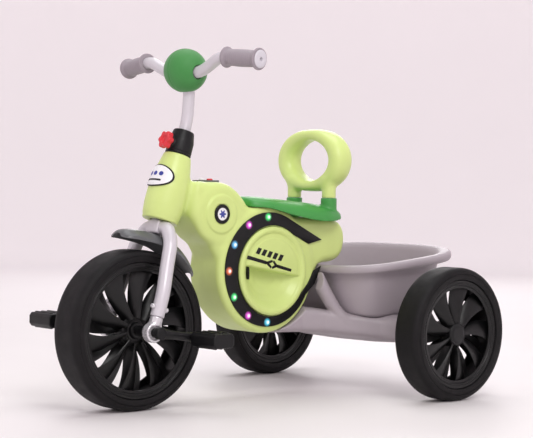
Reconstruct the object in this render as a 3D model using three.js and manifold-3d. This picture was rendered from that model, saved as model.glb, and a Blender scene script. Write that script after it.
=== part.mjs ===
// Children's tricycle: front wheel with fixed cranks, moulded body with light rings, seat with a ring
// backrest, rear bin on a moulded chassis. Millimetres, +Z up, the front faces -Y, the rider's left is +X.
// Origin: the middle of the bounding box in X and Y, on the ground.
import * as THREE from "three";
import { mergeVertices } from "three/addons/utils/BufferGeometryUtils.js";
import Module from "manifold-3d";

const wasm = await Module();
wasm.setup();

// ---- Driving sizes -------------------------------------------------------------------------------------
const FRONT_WHEEL_RADIUS = 125;
const FRONT_WHEEL_WIDTH = 61;
const REAR_WHEEL_RADIUS = 110;
const REAR_WHEEL_WIDTH = 52;
const OVERALL_WIDTH = 507;
const LEAN = THREE.MathUtils.degToRad(18.4); // steering axis, leaning back from the vertical
const BODY_HALF_WIDTH = 40;
const DRUM_RADIUS = 105;
const BIN_HALF_LENGTH = 113.5;
const BIN_HALF_WIDTH = 168;
const CRANK_LENGTH = 74;
const CRANK_ANGLE = THREE.MathUtils.degToRad(8.5); // the left pedal is behind the axle and a little low

// ---- Clearances ----------------------------------------------------------------------------------------
const GAP = 0.35; // between neighbouring fixed pieces
const RUNNING_GAP = 0.6; // between a turning piece and its bearing
const SLIVER = 0.12; // facets thinner than this, left by the cuts, are merged away
const ARM_GAP = 1.5; // between a crank arm and the fork leg or pedal that it passes
const WHEEL_SIDE_GAP = 1.5; // between a rear wheel and the chassis arm beside it
const WHEEL_TO_BODY_GAP = 21.5;
const DRUM_TO_BIN_GAP = 14.5;

// ---- Rods, tubes and walls -----------------------------------------------------------------------------
const AXLE_RADIUS = 6;
const FORK_TUBE_RADIUS = 11;
const FORK_HALF_WIDTH = 58;
const STEM_RADIUS = 9.7;
const BAR_RADIUS = 9.3;
const HEAD_TUBE_RADIUS = 16;
const STEERER_RADIUS = 12.4;
const FRAME_TUBE_RADIUS = 10;
const BALL_RADIUS = 35.3;
const GRIP_RADIUS = 12.5;
const SHELL_WALL = 3;
const TYRE_DEPTH_FRONT = 18.5;
const TYRE_DEPTH_REAR = 20;

// ---- Heights along the steering axis, from the front axle ----------------------------------------------
const MUDGUARD_RISE = 29.5; // the mudguard's highest point above the tyre
const CROWN_S = FRONT_WHEEL_RADIUS + MUDGUARD_RISE + 0.5 + FORK_TUBE_RADIUS;
const HEAD_BOTTOM_S = CROWN_S + FORK_TUBE_RADIUS + 5;
const HEAD_TOP_S = HEAD_BOTTOM_S + 105;
const COLLAR_TOP_S = HEAD_TOP_S + 41;
const BAR_S = COLLAR_TOP_S + 88.5;
const BAR_T = -28;

// ---- Stations from front to rear, in line with the overall length --------------------------------------
const FRONT_AXLE_TO_DRUM = FRONT_WHEEL_RADIUS + WHEEL_TO_BODY_GAP + DRUM_RADIUS;
const DRUM_TO_BIN = DRUM_RADIUS + DRUM_TO_BIN_GAP + BIN_HALF_LENGTH;
const BIN_TO_REAR_AXLE = 4.5;
const WHEELBASE = FRONT_AXLE_TO_DRUM + DRUM_TO_BIN + BIN_TO_REAR_AXLE;
const OVERALL_LENGTH = FRONT_WHEEL_RADIUS + WHEELBASE + REAR_WHEEL_RADIUS;
const FRONT_AXLE_Y = FRONT_WHEEL_RADIUS - OVERALL_LENGTH / 2;
const REAR_AXLE_Y = OVERALL_LENGTH / 2 - REAR_WHEEL_RADIUS;
const DRUM_Y = FRONT_AXLE_Y + FRONT_AXLE_TO_DRUM;
const DRUM_Z = 213.5;
const UPPER_DRUM_Y = DRUM_Y - 100.5;
const UPPER_DRUM_Z = DRUM_Z + 91.5;
const UPPER_DRUM_RADIUS = 50;
const BIN_Y = DRUM_Y + DRUM_TO_BIN;
const BIN_FLOOR_Z = 123;
const BIN_RIM_Z = 231;
const SEAT_Z = DRUM_Z + DRUM_RADIUS + 12.5;
const POST_Y = DRUM_Y + 133;
const POST_X = 43;
const HUB_FACE_X = OVERALL_WIDTH / 2 - 7;

// ---- Colours -------------------------------------------------------------------------------------------
const LIME = 0xd7e896;
const GREEN = 0x4e9652;
const RED = 0xe12d41;
const SILVER = 0xdcd8dc;
const GRIP_GREY = 0xa0968f;
const PALE = 0xe1e1e6;
const SLATE = 0x727476;
const BIN_GREY = 0xa79ea3;
const BLACK = 0x1e1e20;
const STEEL = 0x9a9a9e;
const WHITE = 0xf2f2f2;

// ---- Helpers -------------------------------------------------------------------------------------------
// A closed geometry as a solid. Only positions are kept, so that shared corners merge.
function solidOf(geometry) {
  const bare = new THREE.BufferGeometry();
  const source = geometry.index ? geometry.toNonIndexed() : geometry;
  bare.setAttribute("position", source.getAttribute("position").clone());
  const merged = mergeVertices(bare, 1e-3);
  const corners = new Uint32Array(merged.index.array);
  const kept = [];
  for (let i = 0; i < corners.length; i += 3) {
    const [a, b, c] = corners.subarray(i, i + 3);
    if (a !== b && b !== c && a !== c) kept.push(a, b, c);
  }
  const positions = merged.attributes.position.array;
  const make = (triangles) => {
    const triVerts = new Uint32Array(triangles);
    return new wasm.Manifold(new wasm.Mesh({ numProp: 3, vertProperties: positions, triVerts }));
  };
  const made = make(kept);
  if (made.volume() > 0) return made;
  const turned = [];
  for (let i = 0; i < kept.length; i += 3) turned.push(kept[i], kept[i + 2], kept[i + 1]);
  return make(turned);
}

function geometryOf(solid) {
  const mesh = solid.getMesh();
  const positions = new Float32Array(mesh.numVert * 3);
  for (let i = 0; i < mesh.numVert; i += 1) {
    positions.set(mesh.vertProperties.subarray(i * mesh.numProp, i * mesh.numProp + 3), i * 3);
  }
  const geometry = new THREE.BufferGeometry();
  geometry.setAttribute("position", new THREE.BufferAttribute(positions, 3));
  geometry.setIndex(new THREE.BufferAttribute(new Uint32Array(mesh.triVerts), 1));
  geometry.computeVertexNormals();
  return geometry;
}

function join(...solids) {
  return solids.reduce((a, b) => a.add(b));
}

function cut(solid, ...tools) {
  return tools.reduce((a, b) => a.subtract(b), solid);
}

function addMesh(group, name, solid, colour, roughness = 0.45, metalness = 0) {
  const material = new THREE.MeshStandardMaterial({ color: colour, roughness, metalness });
  const mesh = new THREE.Mesh(geometryOf(solid.simplify(SLIVER)), material);
  mesh.name = name;
  group.add(mesh);
  return mesh;
}

// A cylinder between two heights of one axis: "x", "y" or "z".
function rod(axis, radius, from, to, a = 0, b = 0, sides = 16, radiusAtTo = radius) {
  const geometry = new THREE.CylinderGeometry(radiusAtTo, radius, to - from, sides);
  geometry.translate(0, (from + to) / 2, 0);
  if (axis === "x") {
    geometry.rotateZ(-Math.PI / 2);
    geometry.rotateX(Math.PI / 2);
    geometry.translate(0, a, b);
  }
  if (axis === "y") geometry.translate(a, 0, b);
  if (axis === "z") {
    geometry.rotateX(Math.PI / 2);
    geometry.translate(a, b, 0);
  }
  return solidOf(geometry);
}

function block(x0, x1, y0, y1, z0, z1) {
  const geometry = new THREE.BoxGeometry(x1 - x0, y1 - y0, z1 - z0);
  geometry.translate((x0 + x1) / 2, (y0 + y1) / 2, (z0 + z1) / 2);
  return solidOf(geometry);
}

// A profile of [radius, height] pairs turned about +Z. A ring profile closes on its own first point.
function turned(profile, sides, ring = false) {
  const points = profile.map(([r, h]) => new THREE.Vector2(r, h));
  if (ring) points.push(points[0].clone());
  const geometry = new THREE.LatheGeometry(points, sides);
  geometry.rotateX(Math.PI / 2);
  return geometry;
}

// The same, turned about +X through the point (y, z).
function turnedX(profile, sides, y = 0, z = 0, ring = false) {
  const geometry = turned(profile, sides, ring);
  geometry.rotateY(Math.PI / 2);
  geometry.translate(0, y, z);
  return solidOf(geometry);
}

// A side outline of [y, z] pairs, extruded across X from -half to +half, its edges bevelled.
function sidePlate(outline, half, bevel = 0, from = -half) {
  const shape = new THREE.Shape(outline.map(([y, z]) => new THREE.Vector2(y, z)));
  const geometry = new THREE.ExtrudeGeometry(shape, {
    depth: half - from - 2 * bevel,
    bevelEnabled: bevel > 0,
    bevelSize: bevel,
    bevelOffset: -bevel,
    bevelThickness: bevel,
    bevelSegments: 1,
    curveSegments: 6,
  });
  geometry.translate(0, 0, from + bevel);
  geometry.applyMatrix4(new THREE.Matrix4().set(0, 0, 1, 0, 1, 0, 0, 0, 0, 1, 0, 0, 0, 0, 0, 1));
  return solidOf(geometry);
}

// A path whose rings stand exactly at the given points, so that straight runs need no extra rings.
class RingPath extends THREE.Curve {
  constructor(points) {
    super();
    this.points = points;
  }
  getPoint(u, target = new THREE.Vector3()) {
    const at = u * (this.points.length - 1);
    const i = Math.min(Math.floor(at + 1e-6), this.points.length - 2);
    return target.lerpVectors(this.points[i], this.points[i + 1], Math.min(Math.max(at - i, 0), 1));
  }
  getPointAt(u, target) {
    return this.getPoint(u, target);
  }
  getTangentAt(u, target = new THREE.Vector3()) {
    const last = this.points.length - 1;
    const i = Math.round(u * last);
    const before = this.points[Math.max(i - 1, 0)];
    const here = this.points[i];
    const after = this.points[Math.min(i + 1, last)];
    const incoming = here.clone().sub(before).normalize();
    const outgoing = after.clone().sub(here).normalize();
    return target.copy(incoming).add(outgoing).normalize();
  }
}

// The corner points of a bent tube, each corner replaced by an arc of the given radius.
function bentPath(corners, bendRadius, ringsPerBend = 4) {
  const points = corners.map((p) => new THREE.Vector3(...p));
  const path = [points[0]];
  for (let i = 1; i < points.length - 1; i += 1) {
    const back = points[i - 1].clone().sub(points[i]);
    const on = points[i + 1].clone().sub(points[i]);
    const setback = Math.min(bendRadius, back.length() * 0.45, on.length() * 0.45);
    const start = points[i].clone().addScaledVector(back.normalize(), setback);
    const end = points[i].clone().addScaledVector(on.normalize(), setback);
    const arc = new THREE.QuadraticBezierCurve3(start, points[i], end);
    path.push(...arc.getPoints(ringsPerBend));
  }
  path.push(points[points.length - 1]);
  return new RingPath(path);
}

function bentTube(corners, radius, bendRadius, sides = 14, ringsPerBend = 4) {
  const path = bentPath(corners, bendRadius, ringsPerBend);
  const section = new THREE.Shape();
  for (let i = 0; i < sides; i += 1) {
    const angle = (i / sides) * 2 * Math.PI;
    const x = radius * Math.cos(angle);
    const y = radius * Math.sin(angle);
    if (i === 0) section.moveTo(x, y);
    else section.lineTo(x, y);
  }
  return solidOf(
    new THREE.ExtrudeGeometry(section, {
      steps: path.points.length - 1,
      extrudePath: path,
      bevelEnabled: false,
    }),
  );
}

// A loft: a cylinder whose ring i is moved onto ringPoint(i, angle), with the end caps at their middles.
function loft(sectionCount, sides, ringPoint) {
  const geometry = new THREE.CylinderGeometry(1, 1, 1, sides, sectionCount - 1);
  const position = geometry.getAttribute("position");
  const middles = [];
  for (let i = 0; i < sectionCount; i += 1) {
    const middle = new THREE.Vector3();
    for (let k = 0; k < sides; k += 1) {
      middle.addScaledVector(ringPoint(i, (k / sides) * 2 * Math.PI), 1 / sides);
    }
    middles.push(middle);
  }
  for (let v = 0; v < position.count; v += 1) {
    const ring = Math.round((position.getY(v) + 0.5) * (sectionCount - 1));
    const spread = Math.hypot(position.getX(v), position.getZ(v));
    const step = Math.round((Math.atan2(position.getX(v), position.getZ(v)) / (2 * Math.PI)) * sides);
    const angle = (((step + sides) % sides) / sides) * 2 * Math.PI;
    const point = spread < 0.5 ? middles[ring] : ringPoint(ring, angle);
    position.setXYZ(v, point.x, point.y, point.z);
  }
  return solidOf(geometry);
}

// A rounded rectangle's outline at an angle: exponent 2 is an ellipse, larger is squarer.
function superellipse(angle, halfA, halfB, exponent) {
  const c = Math.cos(angle);
  const s = Math.sin(angle);
  return [
    halfA * Math.sign(c) * Math.abs(c) ** (2 / exponent),
    halfB * Math.sign(s) * Math.abs(s) ** (2 / exponent),
  ];
}

function mirrored(solid) {
  return solid.mirror([1, 0, 0]);
}

// Steering coordinates: t runs rearward across the axis, s runs up along it from the front axle.
function steeringToWorld(x, t, s) {
  return new THREE.Vector3(
    x,
    FRONT_AXLE_Y + t * Math.cos(LEAN) + s * Math.sin(LEAN),
    FRONT_WHEEL_RADIUS - t * Math.sin(LEAN) + s * Math.cos(LEAN),
  );
}

// Turns a geometry made in steering coordinates into one in the tricycle's frame.
function stood(geometry) {
  geometry.rotateX(-LEAN);
  geometry.translate(0, FRONT_AXLE_Y, FRONT_WHEEL_RADIUS);
  return geometry;
}

const tricycle = new THREE.Group();
const steering = new THREE.Group();
steering.position.set(0, FRONT_AXLE_Y, FRONT_WHEEL_RADIUS);
steering.rotation.x = -LEAN;
tricycle.add(steering);

// ---- Wheels --------------------------------------------------------------------------------------------
const RIM_SEGMENTS = 28;

// A tyre about the X axis: flat tread, rounded shoulders and a recessed sidewall.
function tyre(radius, width, depth) {
  const half = width / 2;
  const inner = radius - depth;
  const profile = [
    [inner, -half + 2],
    [radius - 8, -half],
    [radius - 2, -half + 4],
    [radius, -half + 10],
    [radius, half - 10],
    [radius - 2, half - 4],
    [radius - 8, half],
    [inner, half - 2],
  ];
  return turnedX(profile, RIM_SEGMENTS, 0, 0, true);
}

// One twisted blade, from inside the hub to inside the barrel.
function blade(rootRadius, tipRadius, rootWidth, tipWidth, depth, thickness, sweep) {
  const stations = 1;
  const geometry = new THREE.BoxGeometry(1, 1, 1, 1, 1, stations);
  const position = geometry.getAttribute("position");
  for (let v = 0; v < position.count; v += 1) {
    const u = position.getZ(v) + 0.5;
    const across = position.getX(v) * 2;
    const through = position.getY(v) * 2;
    const width = THREE.MathUtils.lerp(rootWidth, tipWidth, u) / 2;
    const twist = THREE.MathUtils.lerp(1.0, 0.55, u);
    const along = THREE.MathUtils.lerp(rootRadius, tipRadius, u);
    const turn = sweep * u * u;
    const side = across * width * Math.cos(twist) - (through * thickness * Math.sin(twist)) / 2;
    const rise = across * depth * Math.sin(twist) + (through * thickness * Math.cos(twist)) / 2;
    const y = along * Math.sin(turn) + side * Math.cos(turn);
    const z = along * Math.cos(turn) - side * Math.sin(turn);
    position.setXYZ(v, rise, y, z);
  }
  return solidOf(geometry);
}

function bladedRim(seatRadius, width, blades, hub) {
  const half = width / 2 - 4;
  const wall = 3.4;
  const barrel = [
    [seatRadius - wall, -half],
    [seatRadius, -half],
    [seatRadius, half],
    [seatRadius - wall, half],
  ];
  let rim = turnedX(barrel, RIM_SEGMENTS, 0, 0, true);
  for (let i = 0; i < blades; i += 1) {
    const vane = blade(hub - 6, seatRadius - 2.2, 12, 27, half * 0.8, 3.6, 0.16);
    rim = rim.add(vane.rotate([(i * 360) / blades, 0, 0]));
  }
  return rim;
}

function frontWheel() {
  const hub = 25;
  const wheel = new THREE.Group();
  wheel.rotation.x = LEAN; // turned back upright inside the leaning steering group
  const seat = FRONT_WHEEL_RADIUS - TYRE_DEPTH_FRONT;
  addMesh(wheel, "front_tyre", tyre(FRONT_WHEEL_RADIUS, FRONT_WHEEL_WIDTH, TYRE_DEPTH_FRONT), BLACK, 0.75);
  const core = turnedX(
    [
      [0, -21],
      [13, -21],
      [15, -12],
      [hub, -12],
      [hub, 12],
      [15, 12],
      [13, 21],
      [0, 21],
    ],
    16,
  );
  const rim = join(bladedRim(seat - GAP, FRONT_WHEEL_WIDTH, 10, hub), core);
  addMesh(wheel, "front_rim", cut(rim, rod("x", AXLE_RADIUS + GAP, -40, 40)), BLACK, 0.4);
  wheel.add(crankAndPedals());
  return wheel;
}

const CRANK_ARM_X = FORK_HALF_WIDTH + FORK_TUBE_RADIUS + ARM_GAP + AXLE_RADIUS;
const PEDAL_WIDTH = 58;
const PEDAL_IN_X = CRANK_ARM_X + AXLE_RADIUS + ARM_GAP;
const PEDAL_OUT_X = PEDAL_IN_X + PEDAL_WIDTH;

// One rod: the pedal spindle, the arm, the axle through the hub, and the other arm and spindle.
function crankAndPedals() {
  const group = new THREE.Group();
  const back = CRANK_LENGTH * Math.cos(CRANK_ANGLE);
  const low = -CRANK_LENGTH * Math.sin(CRANK_ANGLE);
  const spindleEnd = PEDAL_OUT_X - 5;
  const corners = [
    [spindleEnd, back, low],
    [CRANK_ARM_X, back, low],
    [CRANK_ARM_X, 0, 0],
    [-CRANK_ARM_X, 0, 0],
    [-CRANK_ARM_X, -back, -low],
    [-spindleEnd, -back, -low],
  ];
  const bare = bentTube(corners, AXLE_RADIUS, 6, 12, 2);
  const collarFrom = 21 + GAP;
  const collarTo = FORK_HALF_WIDTH - 8 - RUNNING_GAP;
  const collar = rod("x", 8.2, collarFrom, collarTo, 0, 0, 16);
  addMesh(group, "crank_axle", join(bare, collar, mirrored(collar)), BLACK, 0.35, 0.3);
  addMesh(group, "pedal_left", pedal(1, back, low), BLACK, 0.6);
  addMesh(group, "pedal_right", pedal(-1, -back, -low), BLACK, 0.6);
  return group;
}

// A block pedal with ribs above and below, bored from its inner side.
function pedal(side, y, z) {
  const outline = [
    [-20, -6],
    [-16, -11],
    [16, -11],
    [20, -6],
    [20, 6],
    [16, 11],
    [-16, 11],
    [-20, 6],
  ];
  let body = sidePlate(outline, PEDAL_OUT_X, 2, PEDAL_IN_X);
  for (const ribY of [-11, 0, 11]) {
    body = body.add(block(PEDAL_IN_X + 6, PEDAL_OUT_X - 6, ribY - 2, ribY + 2, -13, 13));
  }
  body = cut(body, rod("x", AXLE_RADIUS + RUNNING_GAP, PEDAL_IN_X - 1, PEDAL_OUT_X - 4));
  if (side < 0) body = mirrored(body);
  return body.translate([0, y, z]);
}

function rearWheel(side, name) {
  const group = new THREE.Group();
  group.position.set(0, REAR_AXLE_Y, REAR_WHEEL_RADIUS);
  const middle = OVERALL_WIDTH / 2 - REAR_WHEEL_WIDTH / 2;
  const seat = REAR_WHEEL_RADIUS - TYRE_DEPTH_REAR;
  const hub = 19;
  const hubIn = middle - REAR_WHEEL_WIDTH / 2 + 2;
  const place = (solid) => (side > 0 ? solid : mirrored(solid));
  const rubber = tyre(REAR_WHEEL_RADIUS, REAR_WHEEL_WIDTH, TYRE_DEPTH_REAR).translate([middle, 0, 0]);
  addMesh(group, "rear_tyre_" + name, place(rubber), BLACK, 0.75);
  const rim = bladedRim(seat - GAP, REAR_WHEEL_WIDTH, 9, hub).translate([middle, 0, 0]);
  const bored = cut(
    join(rim, rod("x", hub, hubIn, HUB_FACE_X - 3)),
    rod("x", AXLE_RADIUS + RUNNING_GAP, hubIn - 1, HUB_FACE_X),
    rod("x", 13, HUB_FACE_X - 13, HUB_FACE_X),
  );
  addMesh(group, "rear_rim_" + name, place(bored), BLACK, 0.4);
  const cap = turnedX(
    [
      [0, HUB_FACE_X - 3 + GAP],
      [hub, HUB_FACE_X - 3 + GAP],
      [hub, HUB_FACE_X - 1.5],
      [hub - 2, HUB_FACE_X],
      [0, HUB_FACE_X + 0.5],
    ],
    24,
  );
  addMesh(group, "rear_hub_cap_" + name, place(cap), BLACK, 0.35);
  const nut = cut(
    rod("x", 10, HUB_FACE_X - 11, HUB_FACE_X - 5, 0, 0, 6),
    rod("x", AXLE_RADIUS + GAP, HUB_FACE_X - 12, HUB_FACE_X),
  );
  const placedNut = place(nut.translate([0, REAR_AXLE_Y, REAR_WHEEL_RADIUS]));
  addMesh(tricycle, "axle_nut_" + name, placedNut, STEEL, 0.35, 0.9);
  return group;
}

function rearAxle() {
  const half = HUB_FACE_X - 4;
  return rod("x", AXLE_RADIUS, -half, half, REAR_AXLE_Y, REAR_WHEEL_RADIUS);
}

// ---- Steering ------------------------------------------------------------------------------------------
const LEG_BOTTOM_S = 25;
const LEG_START_X = 15;

function forkCrown() {
  const steerer = rod("z", STEERER_RADIUS, CROWN_S - 6, COLLAR_TOP_S - 6);
  const bridge = loft(2, 16, (i, angle) => {
    const [x, t] = superellipse(angle, LEG_START_X - GAP, FORK_TUBE_RADIUS + 1.5, 4);
    return new THREE.Vector3(x, t, CROWN_S - FORK_TUBE_RADIUS + i * (2 * FORK_TUBE_RADIUS - 0.4));
  });
  const bore = rod("z", STEM_RADIUS + GAP, CROWN_S + 12, COLLAR_TOP_S);
  const boltHole = rod("z", 3.2, CROWN_S - FORK_TUBE_RADIUS - 1, CROWN_S - 1, 0, 0, 12);
  return cut(join(steerer, bridge), bore, boltHole);
}

function forkLeg(side) {
  const corners = [
    [LEG_START_X, 0, CROWN_S],
    [35, 0, CROWN_S],
    [54, 0, CROWN_S - 22],
    [FORK_HALF_WIDTH, 0, CROWN_S - 62],
    [FORK_HALF_WIDTH, 0, LEG_BOTTOM_S],
  ];
  const tube = bentTube(corners, FORK_TUBE_RADIUS, 18, 12, 2);
  const socket = rod("z", 8.6 + GAP, LEG_BOTTOM_S - 1, LEG_BOTTOM_S + 22, FORK_HALF_WIDTH, 0, 12);
  const pinHole = rod("y", 2.2 + GAP, -15, 15, FORK_HALF_WIDTH, LEG_BOTTOM_S + 14, 8);
  const leg = cut(tube, socket, pinHole);
  return side > 0 ? leg : mirrored(leg);
}

// The bearing end: a round eye on the axle line with a neck that plugs into the tube.
function forkEnd(side) {
  const eye = turnedX(
    [
      [0, FORK_HALF_WIDTH - 8],
      [15.5, FORK_HALF_WIDTH - 8],
      [15.5, FORK_HALF_WIDTH + 4],
      [13, FORK_HALF_WIDTH + 7],
      [0, FORK_HALF_WIDTH + 7],
    ],
    16,
  );
  const neck = rod("z", 8.6, 8, LEG_BOTTOM_S + 20, FORK_HALF_WIDTH, 0, 12);
  const shoulder = rod("z", 10.5, 9, LEG_BOTTOM_S - GAP, FORK_HALF_WIDTH, 0, 10);
  const bore = rod("x", AXLE_RADIUS + RUNNING_GAP, 0, 100, 0, 0, 16);
  const pinHole = rod("y", 2.2 + GAP, -15, 15, FORK_HALF_WIDTH, LEG_BOTTOM_S + 14, 8);
  const end = cut(join(eye, neck, shoulder), bore, pinHole);
  return side > 0 ? end : mirrored(end);
}

function forkPin(side) {
  const s = LEG_BOTTOM_S + 14;
  const shank = rod("y", 2.2, -14, 14, FORK_HALF_WIDTH, s, 8);
  const head = rod("y", 4, -16, -FORK_TUBE_RADIUS - GAP, FORK_HALF_WIDTH, s, 10);
  const nut = rod("y", 4, FORK_TUBE_RADIUS + GAP, 16, FORK_HALF_WIDTH, s, 6);
  const pin = join(shank, head, nut);
  return side > 0 ? pin : mirrored(pin);
}

// The mudguard's top line, as t across and its drop below the highest point, in shares of the wheel radius.
const MUDGUARD_LINE = [
  [-0.576, 0.132],
  [-0.552, 0.108],
  [-0.496, 0.076],
  [-0.384, 0.04],
  [-0.176, 0.008],
  [0, 0],
  [0.144, 0.008],
  [0.304, 0.048],
  [0.448, 0.12],
  [0.56, 0.196],
  [0.632, 0.256],
  [0.656, 0.284],
];
const MUDGUARD_PLAN = [0.4, 0.64, 0.84, 0.96, 1, 1, 1, 1, 0.96, 0.84, 0.6, 0.36];
const MUDGUARD_HALF_WIDTH = 30.5;
const MUDGUARD_WALL = 2.6;

function mudguard() {
  const last = MUDGUARD_LINE.length - 1;
  const geometry = new THREE.BoxGeometry(1, 1, 1, 4, last, 1);
  const position = geometry.getAttribute("position");
  for (let v = 0; v < position.count; v += 1) {
    const i = Math.round((position.getY(v) + 0.5) * last);
    const across = position.getX(v) * 2;
    const t = MUDGUARD_LINE[i][0] * FRONT_WHEEL_RADIUS;
    const top = FRONT_WHEEL_RADIUS + MUDGUARD_RISE - MUDGUARD_LINE[i][1] * FRONT_WHEEL_RADIUS;
    const drop = 7 * Math.abs(across) ** 3;
    const down = position.getZ(v) < 0 ? MUDGUARD_WALL : 0;
    const x = across * MUDGUARD_HALF_WIDTH * MUDGUARD_PLAN[i];
    position.setXYZ(v, x, t, top - drop - down);
  }
  return cut(solidOf(geometry), rod("z", 3.2, FRONT_WHEEL_RADIUS, CROWN_S, 0, 0, 12));
}

function mudguardBolt() {
  const under = FRONT_WHEEL_RADIUS + MUDGUARD_RISE - MUDGUARD_WALL - 0.5;
  return join(rod("z", 2.8, under - 2, CROWN_S - 2, 0, 0, 12), rod("z", 6, under - 5, under - GAP, 0, 0, 6));
}

const KNOB_S = HEAD_TOP_S + 16;
const KNOB_FACE_T = -24;

function stemCollar() {
  const low = HEAD_TOP_S + GAP;
  const sleeve = turned(
    [
      [STEERER_RADIUS + GAP, low],
      [21, low],
      [20.5, KNOB_S + 8],
      [17, COLLAR_TOP_S],
      [STEM_RADIUS + GAP, COLLAR_TOP_S],
      [STEM_RADIUS + GAP, COLLAR_TOP_S - 5],
      [STEERER_RADIUS + GAP, COLLAR_TOP_S - 5],
    ],
    20,
    true,
  );
  const boss = rod("y", 8.5, KNOB_FACE_T + GAP, -17, 0, KNOB_S, 16);
  const screwBore = rod("y", 3.9, KNOB_FACE_T - 1, -8, 0, KNOB_S, 16);
  return cut(join(solidOf(sleeve), boss), screwBore);
}

// A six-lobed hand knob on its screw.
function clampKnob() {
  const lobes = 6;
  const outline = [];
  for (let i = 0; i < lobes * 4; i += 1) {
    const angle = (i / (lobes * 4)) * 2 * Math.PI;
    const reach = 12.6 + 2.4 * Math.cos(lobes * angle);
    outline.push(new THREE.Vector2(reach * Math.cos(angle), reach * Math.sin(angle)));
  }
  const geometry = new THREE.ExtrudeGeometry(new THREE.Shape(outline), {
    depth: 9,
    bevelEnabled: true,
    bevelSize: 1.5,
    bevelOffset: -1.5,
    bevelThickness: 1.5,
    bevelSegments: 1,
  });
  geometry.rotateX(Math.PI / 2);
  geometry.translate(0, KNOB_FACE_T - 1.5 - GAP, KNOB_S);
  const screw = rod("y", 3.3, KNOB_FACE_T - 6, -STEERER_RADIUS - GAP, 0, KNOB_S, 16);
  return join(solidOf(geometry), screw);
}

function handlebarStemCorners() {
  return [
    [0, 0, HEAD_BOTTOM_S + 25],
    [0, 0, COLLAR_TOP_S + 20],
    [0, -7, COLLAR_TOP_S + 48],
    [0, -10.5, COLLAR_TOP_S + 62],
    [0, BAR_T + 4.5, BAR_S - BAR_RADIUS - 3.5],
  ];
}

function handlebarStem() {
  return bentTube(handlebarStemCorners(), STEM_RADIUS, 16, 12, 2);
}

const GRIP_START = [99.4, BAR_T - 6, BAR_S + 19.7];
const GRIP_END = [166.7, BAR_T + 6, BAR_S + 17.8];

// Places a solid made about +Z from the grip's inner end outward.
function alongGrip(solid) {
  const from = new THREE.Vector3(...GRIP_START);
  const direction = new THREE.Vector3(...GRIP_END).sub(from).normalize();
  const turn = new THREE.Matrix4().makeRotationFromQuaternion(
    new THREE.Quaternion().setFromUnitVectors(new THREE.Vector3(0, 0, 1), direction),
  );
  turn.setPosition(from);
  return solidOf(geometryOf(solid).applyMatrix4(turn));
}

const GRIP_LENGTH = Math.hypot(...GRIP_END.map((value, i) => value - GRIP_START[i]));

function handlebarBar() {
  const along = GRIP_END.map((value, i) => (value - GRIP_START[i]) / GRIP_LENGTH);
  const end = GRIP_START.map((value, i) => value + along[i] * (GRIP_LENGTH - 8));
  const bend = 14;
  const beforeGrip = GRIP_START.map((value, i) => value - along[i] * bend);
  const half = [[36, BAR_T, BAR_S], [60, BAR_T - 2.5, BAR_S + 8.5], beforeGrip, end];
  const mirror = half.map(([x, t, s]) => [-x, t, s]);
  return bentTube([...mirror.reverse(), ...half], BAR_RADIUS, bend, 12, 2);
}

function ballCover() {
  const centre = [0, BAR_T - 1, BAR_S + 4];
  const ball = solidOf(new THREE.SphereGeometry(BALL_RADIUS, 18, 12)).rotate([90, 0, 0]).translate(centre);
  const hollow = solidOf(new THREE.SphereGeometry(BALL_RADIUS - 4, 10, 6)).translate(centre);
  const barWay = rod("x", BAR_RADIUS + 1.5, -50, 50, BAR_T, BAR_S + 1, 12);
  const stemWay = bentTube(handlebarStemCorners(), STEM_RADIUS + 1.2, 16, 12, 2);
  return cut(ball, hollow, barWay, stemWay);
}

function grip(side) {
  const bore = BAR_RADIUS + GAP;
  const profile = [
    [bore, 0],
    [16.3, 0],
    [GRIP_RADIUS, 5],
    [GRIP_RADIUS + 0.8, GRIP_LENGTH / 2],
    [GRIP_RADIUS, GRIP_LENGTH - 9],
    [17, GRIP_LENGTH - 4],
    [16.5, GRIP_LENGTH],
    [bore, GRIP_LENGTH],
  ];
  const made = alongGrip(solidOf(turned(profile, 14, true)));
  return side > 0 ? made : mirrored(made);
}

function gripCap(side) {
  const plug = BAR_RADIUS;
  const profile = [
    [0, GRIP_LENGTH - 6],
    [plug, GRIP_LENGTH - 6],
    [plug, GRIP_LENGTH + GAP],
    [14, GRIP_LENGTH + GAP],
    [14, GRIP_LENGTH + 1.5],
    [12.5, GRIP_LENGTH + 2.5],
    [3, GRIP_LENGTH + 3],
    [3, GRIP_LENGTH],
    [0, GRIP_LENGTH],
  ];
  const made = alongGrip(solidOf(turned(profile, 14)));
  return side > 0 ? made : mirrored(made);
}

// ---- Body ----------------------------------------------------------------------------------------------
// The head cover's radius along the steering axis, above its bottom.
const HEAD_PROFILE = [
  [0, 28.5],
  [4, 30],
  [22, 32.2],
  [50, 32.2],
  [72, 29.4],
  [92, 25],
  [105, 22],
];

// A point behind the head, t from the steering axis and up from the head's bottom, as [y, z] from the
// lower drum's centre.
function neckPoint(t, up) {
  const point = steeringToWorld(0, t, HEAD_BOTTOM_S + up);
  return [point.y - DRUM_Y, point.z - DRUM_Z];
}

// The body's side outline away from the drums, as [y, z] from the lower drum's centre.
const BODY_OUTLINE = [
  neckPoint(31.1, 20.7),
  neckPoint(22.6, 65.3),
  neckPoint(32.4, 73.8),
  [-120, 142.5],
  [-100, 141],
  [-78, 137],
  [-52, 121],
  [-36, 99],
  [30, 88],
  [90, 85],
  [160, 82],
  [176, 70],
  [182, 50],
  [177, 24],
  [160, 9],
  [120, 7],
  [112, -8],
  [98, -36],
  [0, -60],
  [-80, -20],
  [-128, 60],
  neckPoint(43.8, 8),
];

function drumProfile(radius, half) {
  return [
    [0, -half],
    [radius - 11, -half],
    [radius - 4, -half + 5],
    [radius, -8],
    [radius, 8],
    [radius - 4, half - 5],
    [radius - 11, half],
    [0, half],
  ];
}

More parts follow.
